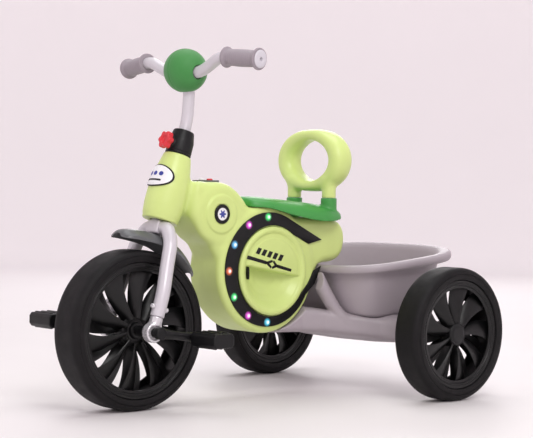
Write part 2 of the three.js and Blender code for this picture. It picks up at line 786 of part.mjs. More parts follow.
function insetOutline(outline, inset) {
  const count = outline.length;
  return outline.map(([y, z], i) => {
    const before = outline[(i + count - 1) % count];
    const after = outline[(i + 1) % count];
    const along = new THREE.Vector2(after[0] - before[0], after[1] - before[1]).normalize();
    return [DRUM_Y + y + along.y * inset, DRUM_Z + z - along.x * inset];
  });
}

// The body's outside.
function bodyOutside() {
  const profile = HEAD_PROFILE.map(([rise, radius]) => [radius, HEAD_BOTTOM_S + rise]);
  const head = stood(turned([[0, HEAD_BOTTOM_S], ...profile, [0, HEAD_TOP_S]], 18));
  return join(
    solidOf(head),
    sidePlate(insetOutline(BODY_OUTLINE, 0), BODY_HALF_WIDTH - 1, 5),
    turnedX(drumProfile(DRUM_RADIUS, BODY_HALF_WIDTH), 32, DRUM_Y, DRUM_Z),
    turnedX(drumProfile(UPPER_DRUM_RADIUS, BODY_HALF_WIDTH), 20, UPPER_DRUM_Y, UPPER_DRUM_Z),
  );
}

// The room inside it, one wall further in, of plainer shapes.
function bodyInside() {
  const half = BODY_HALF_WIDTH - SHELL_WALL;
  const low = HEAD_BOTTOM_S + SHELL_WALL;
  const profile = [
    [0, low],
    [HEAD_PROFILE[0][1] - SHELL_WALL, low],
    [HEAD_PROFILE[3][1] - SHELL_WALL, low + HEAD_PROFILE[3][0]],
    [HEAD_PROFILE[6][1] - SHELL_WALL, HEAD_TOP_S - SHELL_WALL],
    [0, HEAD_TOP_S - SHELL_WALL],
  ];
  return join(
    solidOf(stood(turned(profile, 12))),
    sidePlate(insetOutline(BODY_OUTLINE, SHELL_WALL + 1), half - 2, 0),
    rod("x", DRUM_RADIUS - SHELL_WALL - 7, -half, half, DRUM_Y, DRUM_Z, 18),
    rod("x", UPPER_DRUM_RADIUS - SHELL_WALL - 4, -half, half, UPPER_DRUM_Y, UPPER_DRUM_Z, 12),
  );
}

const RING_RADIUS = DRUM_RADIUS - 11;
const COVER_RADIUS = RING_RADIUS - 21;
const POCKET_RADIUS = COVER_RADIUS - 11;
const COVER_Y = DRUM_Y + 7.5;
const COVER_Z = DRUM_Z - 2.5;
const FACE_X = BODY_HALF_WIDTH;
const BADGE_RADIUS = 15.5;
const SEAT_BOLT_STATIONS = [DRUM_Y + 20, DRUM_Y + DRUM_RADIUS + 15];

// The lower drum's bowl-backed cover sits in this hole, and the drive-side parts pass these openings.
function bodyShell(side) {
  const whole = cut(bodyOutside(), bodyInside());
  const sideSpace = block(GAP / 2, OVERALL_WIDTH, -OVERALL_LENGTH, OVERALL_LENGTH, 0, OVERALL_LENGTH);
  const half = whole.intersect(sideSpace);
  const coverHole = rod("x", COVER_RADIUS - 5, FACE_X - 12, FACE_X + 5, COVER_Y, COVER_Z, 24);
  const badgeSeat = rod("x", BADGE_RADIUS + 1, FACE_X - 1, FACE_X + 5, UPPER_DRUM_Y, UPPER_DRUM_Z, 16);
  const tubeWay = bentTube(frameTubeCorners(), FRAME_TUBE_RADIUS + 2, 40, 12, 3);
  let shell = cut(half, coverHole, badgeSeat, headTubeWay(), tubeWay);
  for (const y of SEAT_BOLT_STATIONS) shell = cut(shell, rod("z", 3.6, SEAT_Z - 60, SEAT_Z, 0, y, 8));
  shell = cut(shell, panelBlank(GAP));
  const pieces = shell.decompose();
  const largest = pieces.reduce((a, b) => (a.volume() > b.volume() ? a : b));
  return side > 0 ? largest : mirrored(largest);
}

// The ring's outline on the body's side: an open ring whose two ends sweep back to points.
function ringOutline() {
  const outer = [];
  const inner = [];
  for (let degrees = 62; degrees <= 332; degrees += 18) {
    const angle = THREE.MathUtils.degToRad(degrees);
    outer.push([DRUM_Y + RING_RADIUS * Math.cos(angle), DRUM_Z + RING_RADIUS * Math.sin(angle)]);
  }
  for (let degrees = 318; degrees >= 52; degrees -= 19) {
    const angle = THREE.MathUtils.degToRad(degrees);
    const reach = COVER_RADIUS + 2;
    inner.push([COVER_Y + reach * Math.cos(angle), COVER_Z + reach * Math.sin(angle)]);
  }
  const onRing = ([y, z]) => [DRUM_Y + y * RING_RADIUS, DRUM_Z + z * RING_RADIUS];
  const tip = (z) => [DRUM_Y + DRUM_RADIUS + 13, DRUM_Z + z * RING_RADIUS];
  const lowerTip = [onRing([1.096, -0.287]), tip(0.032), onRing([1.074, -0.048]), onRing([0.936, -0.277])];
  const upperTip = [onRing([0.9415, 0.4309]), tip(0.5053)];
  return [...outer, ...lowerTip, ...inner, ...upperTip];
}

const LED_COUNT = 7;
const LED_REACH = RING_RADIUS - 7.5;
const LED_RADIUS = 4.6;
const RING_THICKNESS = 2.4;

function ledPlaces() {
  const places = [];
  for (let i = 0; i < LED_COUNT; i += 1) {
    const angle = THREE.MathUtils.degToRad(92.5 + i * 29.2);
    places.push([DRUM_Y + LED_REACH * Math.cos(angle), DRUM_Z + LED_REACH * Math.sin(angle)]);
  }
  return places;
}

function ledRing(side) {
  let ring = sidePlate(ringOutline(), FACE_X + GAP + RING_THICKNESS, 0, FACE_X + GAP);
  for (const [y, z] of ledPlaces()) {
    ring = cut(ring, rod("x", LED_RADIUS + GAP, FACE_X, FACE_X + 5, y, z, 6));
  }
  const channel = lightGuideArc(LED_REACH - 3 - GAP, LED_REACH + 3 + GAP, FACE_X, FACE_X + 1.4 + GAP);
  ring = cut(ring, channel);
  return side > 0 ? ring : mirrored(ring);
}

// The flat arc that joins the lenses behind the ring.
function lightGuideArc(inside, outside, from, to) {
  const outline = [];
  const steps = 8;
  for (let i = 0; i <= steps; i += 1) {
    const angle = THREE.MathUtils.degToRad(90 + (i / steps) * 180.5);
    outline.push([DRUM_Y + outside * Math.cos(angle), DRUM_Z + outside * Math.sin(angle)]);
  }
  for (let i = steps; i >= 0; i -= 1) {
    const angle = THREE.MathUtils.degToRad(90 + (i / steps) * 180.5);
    outline.push([DRUM_Y + inside * Math.cos(angle), DRUM_Z + inside * Math.sin(angle)]);
  }
  return sidePlate(outline, to, 0, from);
}

function ledLenses(side) {
  let strip = lightGuideArc(LED_REACH - 3, LED_REACH + 3, FACE_X + GAP, FACE_X + 1.4);
  for (const [y, z] of ledPlaces()) {
    const dome = turnedX(
      [
        [0, FACE_X + GAP],
        [LED_RADIUS, FACE_X + GAP],
        [LED_RADIUS, FACE_X + 3],
        [0, FACE_X + 4.9],
      ],
      6,
      y,
      z,
    );
    strip = strip.add(dome);
  }
  return side > 0 ? strip : mirrored(strip);
}

const POCKET_DEPTH = 21;
const LEDGE_Z = COVER_Z - 1;

// The round side cover: a rim, a raised upper plate and a scooped pocket below its ledge.
function sideCover(side) {
  const base = FACE_X + GAP;
  const outer = turnedX(
    [
      [0, base - POCKET_DEPTH - 3],
      [26, base - POCKET_DEPTH - 1],
      [48, base - 13],
      [COVER_RADIUS - 8, base],
      [COVER_RADIUS, base],
      [COVER_RADIUS + 0.5, base + 3],
      [COVER_RADIUS - 3, base + 6.5],
      [POCKET_RADIUS, base + 5.5],
      [POCKET_RADIUS - 3, base + 3.5],
      [0, base + 3.5],
    ],
    28,
    COVER_Y,
    COVER_Z,
  );
  const scoop = turnedX(
    [
      [0, base - POCKET_DEPTH],
      [24, base - POCKET_DEPTH + 2],
      [44, base - 10],
      [POCKET_RADIUS - 6, base + 3],
      [POCKET_RADIUS - 2, base + 10],
      [0, base + 10],
    ],
    20,
    COVER_Y,
    COVER_Z,
  );
  const tilt = 10.3;
  const lowerHalf = block(-100, 100, -90, 90, -90, 0)
    .rotate([-tilt, 0, 0])
    .translate([0, COVER_Y, LEDGE_Z]);
  const cover = cut(outer, scoop.intersect(lowerHalf));
  return side > 0 ? cover : mirrored(cover);
}

function roundBadge(side) {
  const badge = turnedX(
    [
      [0, FACE_X - 1 + GAP],
      [BADGE_RADIUS, FACE_X - 1 + GAP],
      [BADGE_RADIUS, FACE_X + 1.2],
      [BADGE_RADIUS - 1.5, FACE_X + 2],
      [BADGE_RADIUS - 3, FACE_X + 1.5],
      [0, FACE_X + 2.2],
    ],
    16,
    UPPER_DRUM_Y,
    UPPER_DRUM_Z,
  );
  return side > 0 ? badge : mirrored(badge);
}

// An oval plate that follows the head cover's front.
function headBadge() {
  const middleS = HEAD_BOTTOM_S + 62;
  const wrap = THREE.MathUtils.degToRad(62);
  const tall = 19;
  const coverRadius = (s) => {
    const rise = s - HEAD_BOTTOM_S;
    const i = HEAD_PROFILE.findIndex(([level]) => level > rise);
    const [low, a] = HEAD_PROFILE[i - 1];
    const [high, b] = HEAD_PROFILE[i];
    return THREE.MathUtils.mapLinear(rise, low, high, a, b);
  };
  const lifts = [1.1, 1.1, 1.1, 1.9, 2.5, 2.5];
  const spreads = [0.34, 0.7, 1, 1, 0.7, 0.34];
  return loft(lifts.length, 16, (i, angle) => {
    const around = wrap * spreads[i] * Math.cos(angle);
    const s = middleS + tall * spreads[i] * Math.sin(angle);
    const reach = coverRadius(s) + lifts[i];
    return new THREE.Vector3(reach * Math.sin(around), -reach * Math.cos(around), s);
  });
}

// The room around the head tube, in the tricycle's frame.
function headTubeWay() {
  const reach = HEAD_TUBE_RADIUS + 0.6;
  const profile = [
    [0, HEAD_BOTTOM_S - 20],
    [reach, HEAD_BOTTOM_S - 20],
    [reach, HEAD_TOP_S + 20],
    [0, HEAD_TOP_S + 20],
  ];
  return solidOf(stood(turned(profile, 20)));
}

function headTube() {
  const tube = rod("z", HEAD_TUBE_RADIUS, HEAD_BOTTOM_S - 2, HEAD_TOP_S - 1);
  return cut(tube, rod("z", STEERER_RADIUS + RUNNING_GAP, HEAD_BOTTOM_S - 10, HEAD_TOP_S + 5));
}

function lowerCup() {
  const top = HEAD_BOTTOM_S - GAP;
  return turned(
    [
      [HEAD_TUBE_RADIUS + GAP, top],
      [HEAD_TUBE_RADIUS + GAP, top - 2.2],
      [STEERER_RADIUS + RUNNING_GAP, top - 2.2],
      [STEERER_RADIUS + RUNNING_GAP, top - 4],
      [23, top - 4],
      [24, top],
    ],
    20,
    true,
  );
}

function frameTubeCorners() {
  const start = steeringToWorld(0, HEAD_TUBE_RADIUS + 3, HEAD_BOTTOM_S + 42);
  return [
    [0, start.y, start.z],
    [0, UPPER_DRUM_Y - 28, UPPER_DRUM_Z + 2.5],
    [0, DRUM_Y - 72, DRUM_Z + 60],
    [0, DRUM_Y + 2, DRUM_Z - 62],
    [0, DRUM_Y + 60, DRUM_Z - 84],
    [0, BIN_Y - BIN_HALF_LENGTH + 4, DRUM_Z - 90],
  ];
}

function frameTube() {
  return cut(bentTube(frameTubeCorners(), FRAME_TUBE_RADIUS, 40, 12, 3), headTubeWay());
}

// The music panel lies on the flat behind the head, above the upper drum.
const PANEL_Z = UPPER_DRUM_Z + UPPER_DRUM_RADIUS + 1;
const BUTTON_RADIUS = 5;
const BUTTON_TRAVEL = 1.5;
const PANEL_DEPTH = 3.5; // how far the panel is let into the body
const PANEL_HEIGHT = 6.5;
const PANEL_Y = UPPER_DRUM_Y - 2;
const BUTTON_LOW_Z = PANEL_Z - PANEL_DEPTH + BUTTON_TRAVEL;
const BUTTON_PLACES = [
  [10, PANEL_Y],
  [-10, PANEL_Y],
];

function panelBlank(grow) {
  return loft(2, 16, (i, angle) => {
    const [x, y] = superellipse(angle, 24 + grow, 15 + grow, 3.4);
    const z = PANEL_Z - PANEL_DEPTH - grow + i * (PANEL_HEIGHT + 2 * grow);
    return new THREE.Vector3(x, PANEL_Y + y, z);
  });
}

function musicPanel() {
  let panel = panelBlank(0);
  for (const [x, y] of BUTTON_PLACES) {
    panel = cut(panel, rod("z", BUTTON_RADIUS + 0.5, PANEL_Z - 10, PANEL_Z + 10, x, y, 16));
  }
  return panel;
}

function musicButton(x, y) {
  return solidOf(
    turned(
      [
        [0, BUTTON_LOW_Z],
        [BUTTON_RADIUS, BUTTON_LOW_Z],
        [BUTTON_RADIUS, PANEL_Z + 4.5],
        [BUTTON_RADIUS - 1.2, PANEL_Z + 5.6],
        [0, PANEL_Z + 5.9],
      ],
      16,
    ).translate(x, y, 0),
  );
}

function batteryBox() {
  const y = DRUM_Y + 96;
  const z = DRUM_Z + 42;
  return block(-27, 27, y, y + 58, z, z + 24);
}

function speaker() {
  const centre = UPPER_DRUM_Y - 4;
  return solidOf(
    turned(
      [
        [0, UPPER_DRUM_Z + 21],
        [12, UPPER_DRUM_Z + 21],
        [12, UPPER_DRUM_Z + 27],
        [21, UPPER_DRUM_Z + 36],
        [21, UPPER_DRUM_Z + 39],
        [0, UPPER_DRUM_Z + 39],
      ],
      16,
    ).translate(0, centre, 0),
  );
}

// ---- Seat and backrest ---------------------------------------------------------------------------------
// Stations from nose to tail: y from the drum's middle, how far the side stands out beyond the body's,
// the top at the middle, and the side edge's height.
const SEAT_STATIONS = [
  [-38, -31, 0, -9],
  [-30, -9, 2, -13],
  [0, 8, 1.8, -17],
  [45, 14, -2.2, -28],
  [86, 23, -6, -36],
  [116, 27, -9, -38.5],
  [144, 21, -13, -35],
  [162, 2, -18.5, -31.5],
  [171, -25, -24, -29.5],
].map(([y, beyond, top, edge]) => [y, BODY_HALF_WIDTH + beyond, top, edge]);

function seatForm(stations, sides, inset, floor) {
  return loft(stations.length, sides, (i, angle) => {
    const [y, half, top, edge] = stations[i];
    const endInset = i === 0 ? inset : i === stations.length - 1 ? -inset : 0;
    const [across, up] = superellipse(angle, half - inset, 1, 2.4);
    const height = up > 0 ? edge + (top - edge - inset) * up : edge + floor * up;
    return new THREE.Vector3(across, DRUM_Y + y + endInset, SEAT_Z + height);
  });
}

const SOCKET_TOP_Z = SEAT_Z;
const SOCKET_RADIUS = 13.5;
const POST_RADIUS = 11.8;
const POST_PLUG_RADIUS = 10;

function seat() {
  const inner = SEAT_STATIONS.filter((station, i) => i % 2 === 0);
  let made = cut(seatForm(SEAT_STATIONS, 18, 0, 1.5), seatForm(inner, 14, 4, 30));
  for (const x of [POST_X, -POST_X]) {
    const socket = rod("z", SOCKET_RADIUS, SEAT_Z - 32.6, SOCKET_TOP_Z, x, POST_Y, 14, SOCKET_RADIUS - 0.6);
    const bore = rod("z", POST_PLUG_RADIUS + GAP, SEAT_Z - 31, SOCKET_TOP_Z + 1, x, POST_Y, 14);
    made = cut(made.add(socket), bore);
  }
  for (const y of SEAT_BOLT_STATIONS) {
    const low = bodyTopAt(y) + 1;
    const boss = rod("z", 8, low, seatTopAt(y) - 2, 0, y, 10);
    made = cut(made.add(boss), rod("z", 3.4, low - 1, seatTopAt(y) - 5, 0, y, 8));
  }
  return made;
}

// The seat's top line along its middle.
function seatTopAt(y) {
  const i = SEAT_STATIONS.findIndex(([along]) => DRUM_Y + along > y);
  const [before, , low] = SEAT_STATIONS[i - 1];
  const [after, , high] = SEAT_STATIONS[i];
  return SEAT_Z + THREE.MathUtils.mapLinear(y - DRUM_Y, before, after, low, high);
}

// The body's top line under the seat.
function bodyTopAt(y) {
  const points = BODY_OUTLINE.slice(7, 11);
  const i = Math.max(1, points.findIndex(([along]) => DRUM_Y + along > y));
  const [before, low] = points[i - 1];
  const [after, high] = points[i];
  const line = THREE.MathUtils.mapLinear(y - DRUM_Y, before, after, low, high);
  return DRUM_Z + Math.max(line, drumHeight(y, DRUM_RADIUS));
}

function drumHeight(y, radius) {
  const across = Math.min(Math.abs(y - DRUM_Y), radius);
  return Math.sqrt(radius ** 2 - across ** 2);
}

function seatBolt(y) {
  const fromLine = bodyTopAt(y) - SHELL_WALL - 1;
  const fromDrum = DRUM_Z + drumHeight(y, DRUM_RADIUS - SHELL_WALL - 7);
  const under = (Math.abs(y - DRUM_Y) < DRUM_RADIUS ? Math.min(fromLine, fromDrum) : fromLine) - 3;
  return join(rod("z", 3, under - 1, seatTopAt(y) - 6, 0, y, 8), rod("z", 6.5, under - 4, under, 0, y, 6));
}

const RING_CENTRE_Z = SEAT_Z + 64;

function backrest() {
  const sides = 12;
  const around = 26;
  const geometry = new THREE.TorusGeometry(1, 0.25, sides, around);
  const position = geometry.getAttribute("position");
  for (let v = 0; v < position.count; v += 1) {
    const x = position.getX(v);
    const y = position.getY(v);
    const ring = Math.atan2(y, x);
    const radial = (Math.hypot(x, y) - 1) / 0.25;
    const depth = position.getZ(v) / 0.25;
    const sideways = Math.abs(Math.cos(ring));
    const thick = THREE.MathUtils.lerp(9.5, 17, sideways ** 1.4);
    const deep = THREE.MathUtils.lerp(19, 20.5, sideways);
    const reachX = (62.8 + radial * thick) * Math.cos(ring);
    const reachZ = (43.5 + radial * thick) * Math.sin(ring);
    position.setXYZ(v, reachX, depth * deep, reachZ);
  }
  let made = solidOf(geometry).translate([0, POST_Y + 6, RING_CENTRE_Z]);
  for (const x of [POST_X, -POST_X]) {
    const post = rod("z", POST_RADIUS, SOCKET_TOP_Z + GAP, RING_CENTRE_Z - 34, x, POST_Y, 12);
    const plug = rod("z", POST_PLUG_RADIUS, SEAT_Z - 29, SOCKET_TOP_Z + 1, x, POST_Y, 12);
    made = made.add(post).add(plug);
  }
  return made;
}

// ---- Bin and chassis -----------------------------------------------------------------------------------
const BIN_FLOOR_SHARE = 0.03; // the floor's thickness as a share of the bin's depth

// The outside from the floor up: the share of the rim's size, and the share of the height.
const BIN_OUTSIDE = [
  [0, 0],
  [0.58, 0],
  [0.67, 0.03],
  [0.745, 0.13],
  [0.83, 0.5],
  [0.9, 0.89],
  [0.985, 0.895],
  [1, 0.93],
  [0.995, 0.985],
  [0.965, 1],
  [0.895, 0.985],
];

function binPoint(share, rise, angle) {
  const exponent = THREE.MathUtils.lerp(2.6, 3.7, share);
  const [x, y] = superellipse(angle, BIN_HALF_WIDTH * share, BIN_HALF_LENGTH * share, exponent);
  const egg = 1 + 0.12 * (y / BIN_HALF_LENGTH) * share - 0.045 * share;
  const slope = 0.13 * y + 6 * Math.max(0, y / BIN_HALF_LENGTH) ** 3;
  const level = BIN_FLOOR_Z + (BIN_RIM_Z - BIN_FLOOR_Z) * rise;
  const z = level + slope * Math.max(0, rise - BIN_FLOOR_SHARE);
  return new THREE.Vector3(Math.min(Math.abs(x * egg), BIN_HALF_WIDTH + 2) * Math.sign(x), BIN_Y + y, z);
}

// The bin's solid between an outside profile and, when hollow, its inside.
function binForm(hollow, grow = 0) {
  const inside = [
    [0.87, 0.97],
    [0.8, 0.5],
    [0.715, 0.15],
    [0.65, 0.065],
    [0.57, BIN_FLOOR_SHARE],
    [0, BIN_FLOOR_SHARE],
  ];
  const overTheRim = [
    [0.905, 1.3],
    [0, 1.3],
  ];
  const profile = hollow ? [...BIN_OUTSIDE, ...inside] : [...BIN_OUTSIDE.slice(0, 6), ...overTheRim];
  const geometry = new THREE.LatheGeometry(
    profile.map(([share, rise]) => new THREE.Vector2(share, rise)),
    28,
  );
  const position = geometry.getAttribute("position");
  for (let v = 0; v < position.count; v += 1) {
    const x = position.getX(v);
    const z = position.getZ(v);
    const share = Math.hypot(x, z);
    const scale = share > 0.01 ? share + grow / BIN_HALF_WIDTH : 0;
    const rise = position.getY(v) - grow / (BIN_RIM_Z - BIN_FLOOR_Z);
    const point = binPoint(scale, rise, Math.atan2(z, x));
    position.setXYZ(v, point.x, point.y, point.z);
  }
  return solidOf(geometry);
}

const ARM_RADIUS = 22;
const SCREW_PLACES = [118, -118];

function chassisForm(inset, drop) {
  const armEnd = OVERALL_WIDTH / 2 - REAR_WHEEL_WIDTH - WHEEL_SIDE_GAP - 0.5 - inset;
  const arm = loft(7, inset ? 8 : 12, (i, angle) => {
    const x = [-1, -0.8, -0.42, 0, 0.42, 0.8, 1][i] * armEnd;
    const size = [0.72, 1, 1.3, 1.35, 1.3, 1, 0.72][i];
    const [y, z] = superellipse(angle, ARM_RADIUS * size * 1.15 - inset, ARM_RADIUS * size - inset, 3);
    const low = z < 0 ? z - drop : z;
    const rear = [0, -4, -16, -20, -16, -4, 0][i];
    return new THREE.Vector3(x, REAR_AXLE_Y + y + rear, REAR_WHEEL_RADIUS + 1 + low);
  });
  // The beam runs from the drum back to the arm, spreading as it goes.
  const beamStations = [
    [DRUM_Y + 30, 34, 106, 150],
    [DRUM_Y + 75, 44, 105, 152],
    [DRUM_Y + 110, 62, 103, 160],
    [DRUM_Y + 145, 88, 98, 150],
    [DRUM_Y + 185, 118, 92, 146],
    [REAR_AXLE_Y + 4, 138, 90, 140],
  ];
  const beam = loft(beamStations.length, inset ? 8 : 12, (i, angle) => {
    const [y, half, low, high] = beamStations[i];
    const ends = i === 0 ? inset : i === beamStations.length - 1 ? -inset : 0;
    const [x, up] = superellipse(angle, half - inset, (high - low) / 2 - inset, 4.5);
    const sunk = up < 0 ? up - drop : up;
    return new THREE.Vector3(x, y + ends, (high + low) / 2 + sunk);
  });
  return join(arm, beam);
}

// A ridged strut on each side, from under the bin's front rim down to the beam.
function chassisStrut(side) {
  const stations = [
    [46, DRUM_Y + 100, 206, 15],
    [52, DRUM_Y + 112, 180, 17],
    [60, DRUM_Y + 128, 150, 18],
    [72, DRUM_Y + 150, 122, 18],
  ];
  return loft(stations.length, 10, (i, angle) => {
    const [x, y, z, half] = stations[i];
    const [across, along] = superellipse(angle, 13, half, 3);
    return new THREE.Vector3((x + across) * side, y + along, z);
  });
}

function rearFrame() {
  const outer = join(chassisForm(0, 0), chassisStrut(1), chassisStrut(-1));
  const hollow = chassisForm(4.5, 40);
  const hubEnd = OVERALL_WIDTH / 2 - REAR_WHEEL_WIDTH - WHEEL_SIDE_GAP;
  const hub = rod("x", 14, -hubEnd, hubEnd, REAR_AXLE_Y, REAR_WHEEL_RADIUS);
  const drum = rod("x", DRUM_RADIUS + 1.6, -90, 90, DRUM_Y, DRUM_Z, 36);
  const blockBody = block(-BODY_HALF_WIDTH - 6, BODY_HALF_WIDTH + 6, DRUM_Y, DRUM_Y + 130, 150, 330);
  const bore = rod("x", AXLE_RADIUS + GAP, -240, 240, REAR_AXLE_Y, REAR_WHEEL_RADIUS);
  const tubeWay = bentTube(frameTubeCorners(), FRAME_TUBE_RADIUS + 1, 40, 12, 3);
  const nest = binForm(false, 0.7);
  let frame = cut(outer, hollow);
  frame = join(frame, hub);
  frame = cut(frame, drum, blockBody, bore, tubeWay, nest);
  for (const x of SCREW_PLACES) frame = cut(frame, rod("z", 2.6, 90, 170, x, REAR_AXLE_Y - 28, 12));
  const pieces = frame.decompose();
  return pieces.reduce((a, b) => (a.volume() > b.volume() ? a : b));
}

// ---- Assembly ------------------------------------------------------------------------------------------
steering.add(frontWheel());
addMesh(steering, "fork_crown", forkCrown(), SILVER, 0.35, 0.4);
addMesh(steering, "mudguard", mudguard(), SLATE, 0.5);
addMesh(steering, "mudguard_bolt", mudguardBolt(), STEEL, 0.35, 0.9);
addMesh(steering, "stem_collar", stemCollar(), BLACK, 0.5);
addMesh(steering, "clamp_knob", clampKnob(), RED, 0.35);
addMesh(steering, "handlebar_stem", handlebarStem(), SILVER, 0.35, 0.4);
addMesh(steering, "handlebar_bar", handlebarBar(), SILVER, 0.35, 0.4);
addMesh(steering, "ball_cover", ballCover(), GREEN, 0.5);
addMesh(steering, "head_badge", headBadge(), WHITE, 0.3);
addMesh(steering, "head_tube", headTube(), STEEL, 0.4, 0.8);
addMesh(steering, "lower_cup", solidOf(lowerCup()), BLACK, 0.5);
for (const [side, name] of [[1, "left"], [-1, "right"]]) {
  addMesh(steering, "fork_leg_" + name, forkLeg(side), SILVER, 0.35, 0.4);
  addMesh(steering, "fork_end_" + name, forkEnd(side), STEEL, 0.3, 0.9);
  addMesh(steering, "fork_pin_" + name, forkPin(side), STEEL, 0.3, 0.9);
  addMesh(steering, "grip_" + name, grip(side), GRIP_GREY, 0.8);
  addMesh(steering, "grip_cap_" + name, gripCap(side), PALE, 0.5);
  addMesh(tricycle, "body_shell_" + name, bodyShell(side), LIME);
  addMesh(tricycle, "led_ring_" + name, ledRing(side), BLACK, 0.35);
  addMesh(tricycle, "led_lenses_" + name, ledLenses(side), WHITE, 0.2);
  addMesh(tricycle, "side_cover_" + name, sideCover(side), LIME);
  addMesh(tricycle, "round_badge_" + name, roundBadge(side), WHITE, 0.3);
  tricycle.add(rearWheel(side, name));
}
addMesh(tricycle, "frame_tube", frameTube(), STEEL, 0.4, 0.8);
addMesh(tricycle, "music_panel", musicPanel(), SLATE);
addMesh(tricycle, "music_button_left", musicButton(...BUTTON_PLACES[0]), RED, 0.35);
addMesh(tricycle, "music_button_right", musicButton(...BUTTON_PLACES[1]), WHITE, 0.35);
addMesh(tricycle, "battery_box", batteryBox(), BLACK);
addMesh(tricycle, "speaker", speaker(), BLACK);
addMesh(tricycle, "seat", seat(), GREEN);
addMesh(tricycle, "seat_bolt_front", seatBolt(SEAT_BOLT_STATIONS[0]), STEEL, 0.3, 0.9);
addMesh(tricycle, "seat_bolt_rear", seatBolt(SEAT_BOLT_STATIONS[1]), STEEL, 0.3, 0.9);
addMesh(tricycle, "backrest", backrest(), LIME);
addMesh(tricycle, "rear_bin", binForm(true), BIN_GREY);
addMesh(tricycle, "rear_frame", rearFrame(), BIN_GREY);
addMesh(tricycle, "rear_axle", rearAxle(), STEEL, 0.3, 0.9);

export default tricycle;
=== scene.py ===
"""Children's tricycle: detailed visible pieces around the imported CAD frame. Shapes are worked out in
millimetres in the row frame (+Z up, front towards -Y, the rider's left is +X)."""

import math

import bmesh
import bpy
import numpy as np
from mathutils import Matrix, Vector


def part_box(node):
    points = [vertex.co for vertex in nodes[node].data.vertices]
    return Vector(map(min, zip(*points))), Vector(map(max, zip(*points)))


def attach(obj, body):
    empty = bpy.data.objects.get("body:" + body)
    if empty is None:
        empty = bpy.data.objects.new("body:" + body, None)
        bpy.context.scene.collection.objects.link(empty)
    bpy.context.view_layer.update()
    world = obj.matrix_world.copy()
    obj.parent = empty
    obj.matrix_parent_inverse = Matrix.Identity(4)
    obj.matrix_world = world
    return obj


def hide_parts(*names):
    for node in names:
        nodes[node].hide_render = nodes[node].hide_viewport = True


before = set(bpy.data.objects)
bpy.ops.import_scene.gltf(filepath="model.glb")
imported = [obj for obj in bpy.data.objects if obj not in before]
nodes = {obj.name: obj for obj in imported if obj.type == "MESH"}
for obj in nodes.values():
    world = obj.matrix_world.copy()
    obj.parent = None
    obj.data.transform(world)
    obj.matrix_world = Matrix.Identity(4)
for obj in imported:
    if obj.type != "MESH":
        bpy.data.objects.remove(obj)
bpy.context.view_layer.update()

MM = 0.001


def span(node):
    """A CAD node's box in millimetres."""
    low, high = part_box(node)
    return np.array(low) / MM, np.array(high) / MM


# ---- Sizes read from the frame ----------------------------------------------------------------------
low, high = span("front_tyre")
FRONT_RADIUS = (high[2] - low[2]) / 2
FRONT_Y = (high[1] + low[1]) / 2
FRONT_HALF = (high[0] - low[0]) / 2
low, high = span("rear_tyre_left")
REAR_RADIUS = (high[2] - low[2]) / 2
REAR_Y = (high[1] + low[1]) / 2
REAR_X = (high[0] + low[0]) / 2
REAR_HALF = (high[0] - low[0]) / 2
low, high = span("side_cover_left")
COVER_Y = (high[1] + low[1]) / 2
COVER_Z = (high[2] + low[2]) / 2
COVER_RADIUS = (high[1] - low[1]) / 2 - 0.5
GAP = 0.35
FACE_X = span("led_ring_left")[0][0] - GAP
DRUM_Y = COVER_Y - 7.5
DRUM_Z = COVER_Z + 2.5
DRUM_RADIUS = COVER_RADIUS + 32
RING_RADIUS = DRUM_RADIUS - 11
low, high = span("round_badge_left")
UPPER_Y = (high[1] + low[1]) / 2
UPPER_Z = (high[2] + low[2]) / 2
BADGE_RADIUS = (high[1] - low[1]) / 2
low, high = span("backrest")
RING_TALL = 43.5
RING_THICK = 9.5
RING_Z = high[2] - RING_TALL - RING_THICK
POST_Y = (high[1] + low[1]) / 2 - 6
SEAT_Z = RING_Z - 64
POST_X = 43
HUB_FACE = span("rear_hub_cap_left")[1][0] - 0.5
BIN_HALF_LENGTH = 113.5
BIN_HALF_WIDTH = 168
BIN_Y = DRUM_Y + DRUM_RADIUS + 14.5 + BIN_HALF_LENGTH
BIN_FLOOR_Z = span("rear_bin")[0][2]
BIN_DEPTH = 108
SIDES = ((1, "left"), (-1, "right"))

LEAN = math.radians(18.4)
SIN_L = math.sin(LEAN)
COS_L = math.cos(LEAN)
FORK_X = 58
FORK_TUBE = 11
FORK_PIN_S = 39
CROWN_S = FRONT_RADIUS + 41
HEAD_BOTTOM_S = CROWN_S + 16
HEAD_TOP_S = HEAD_BOTTOM_S + 105
COLLAR_TOP_S = HEAD_TOP_S + 41
BAR_S = COLLAR_TOP_S + 88.5
BAR_T = -28
KNOB_S = HEAD_TOP_S + 16
STEM_RADIUS = 9.7
BAR_RADIUS = 9.3
CRANK_LENGTH = 74
CRANK_ANGLE = math.radians(8.5)
AXLE_RADIUS = 6
CRANK_X = FORK_X + FORK_TUBE + 1.5 + AXLE_RADIUS
PEDAL_IN = span("pedal_left")[0][0]
PEDAL_OUT = span("pedal_left")[1][0]


# ---- Camera, light and floor ------------------------------------------------------------------------
def add_camera():
    """The photo's camera: three quarters from the front, almost level."""
    azimuth, elevation, roll = math.radians(48.3), math.radians(1.4), math.radians(0.7)
    level = math.cos(elevation)
    back = Vector((math.sin(azimuth) * level, -math.cos(azimuth) * level, math.sin(elevation)))
    right = (-back).cross(Vector((0, 0, 1))).normalized()
    up = back.cross(right)
    turned_right = right * math.cos(roll) + up * math.sin(roll)
    turned_up = up * math.cos(roll) - right * math.sin(roll)
    data = bpy.data.cameras.new("camera")
    data.sensor_width = 36
    data.lens = 105.35
    data.clip_end = 50
    camera = bpy.data.objects.new("camera", data)
    turn = Matrix((turned_right, turned_up, back)).transposed().to_4x4()
    camera.matrix_world = Matrix.Translation((1.9492, -1.6918, 0.359)) @ turn
    bpy.context.collection.objects.link(camera)
    bpy.context.scene.camera = camera


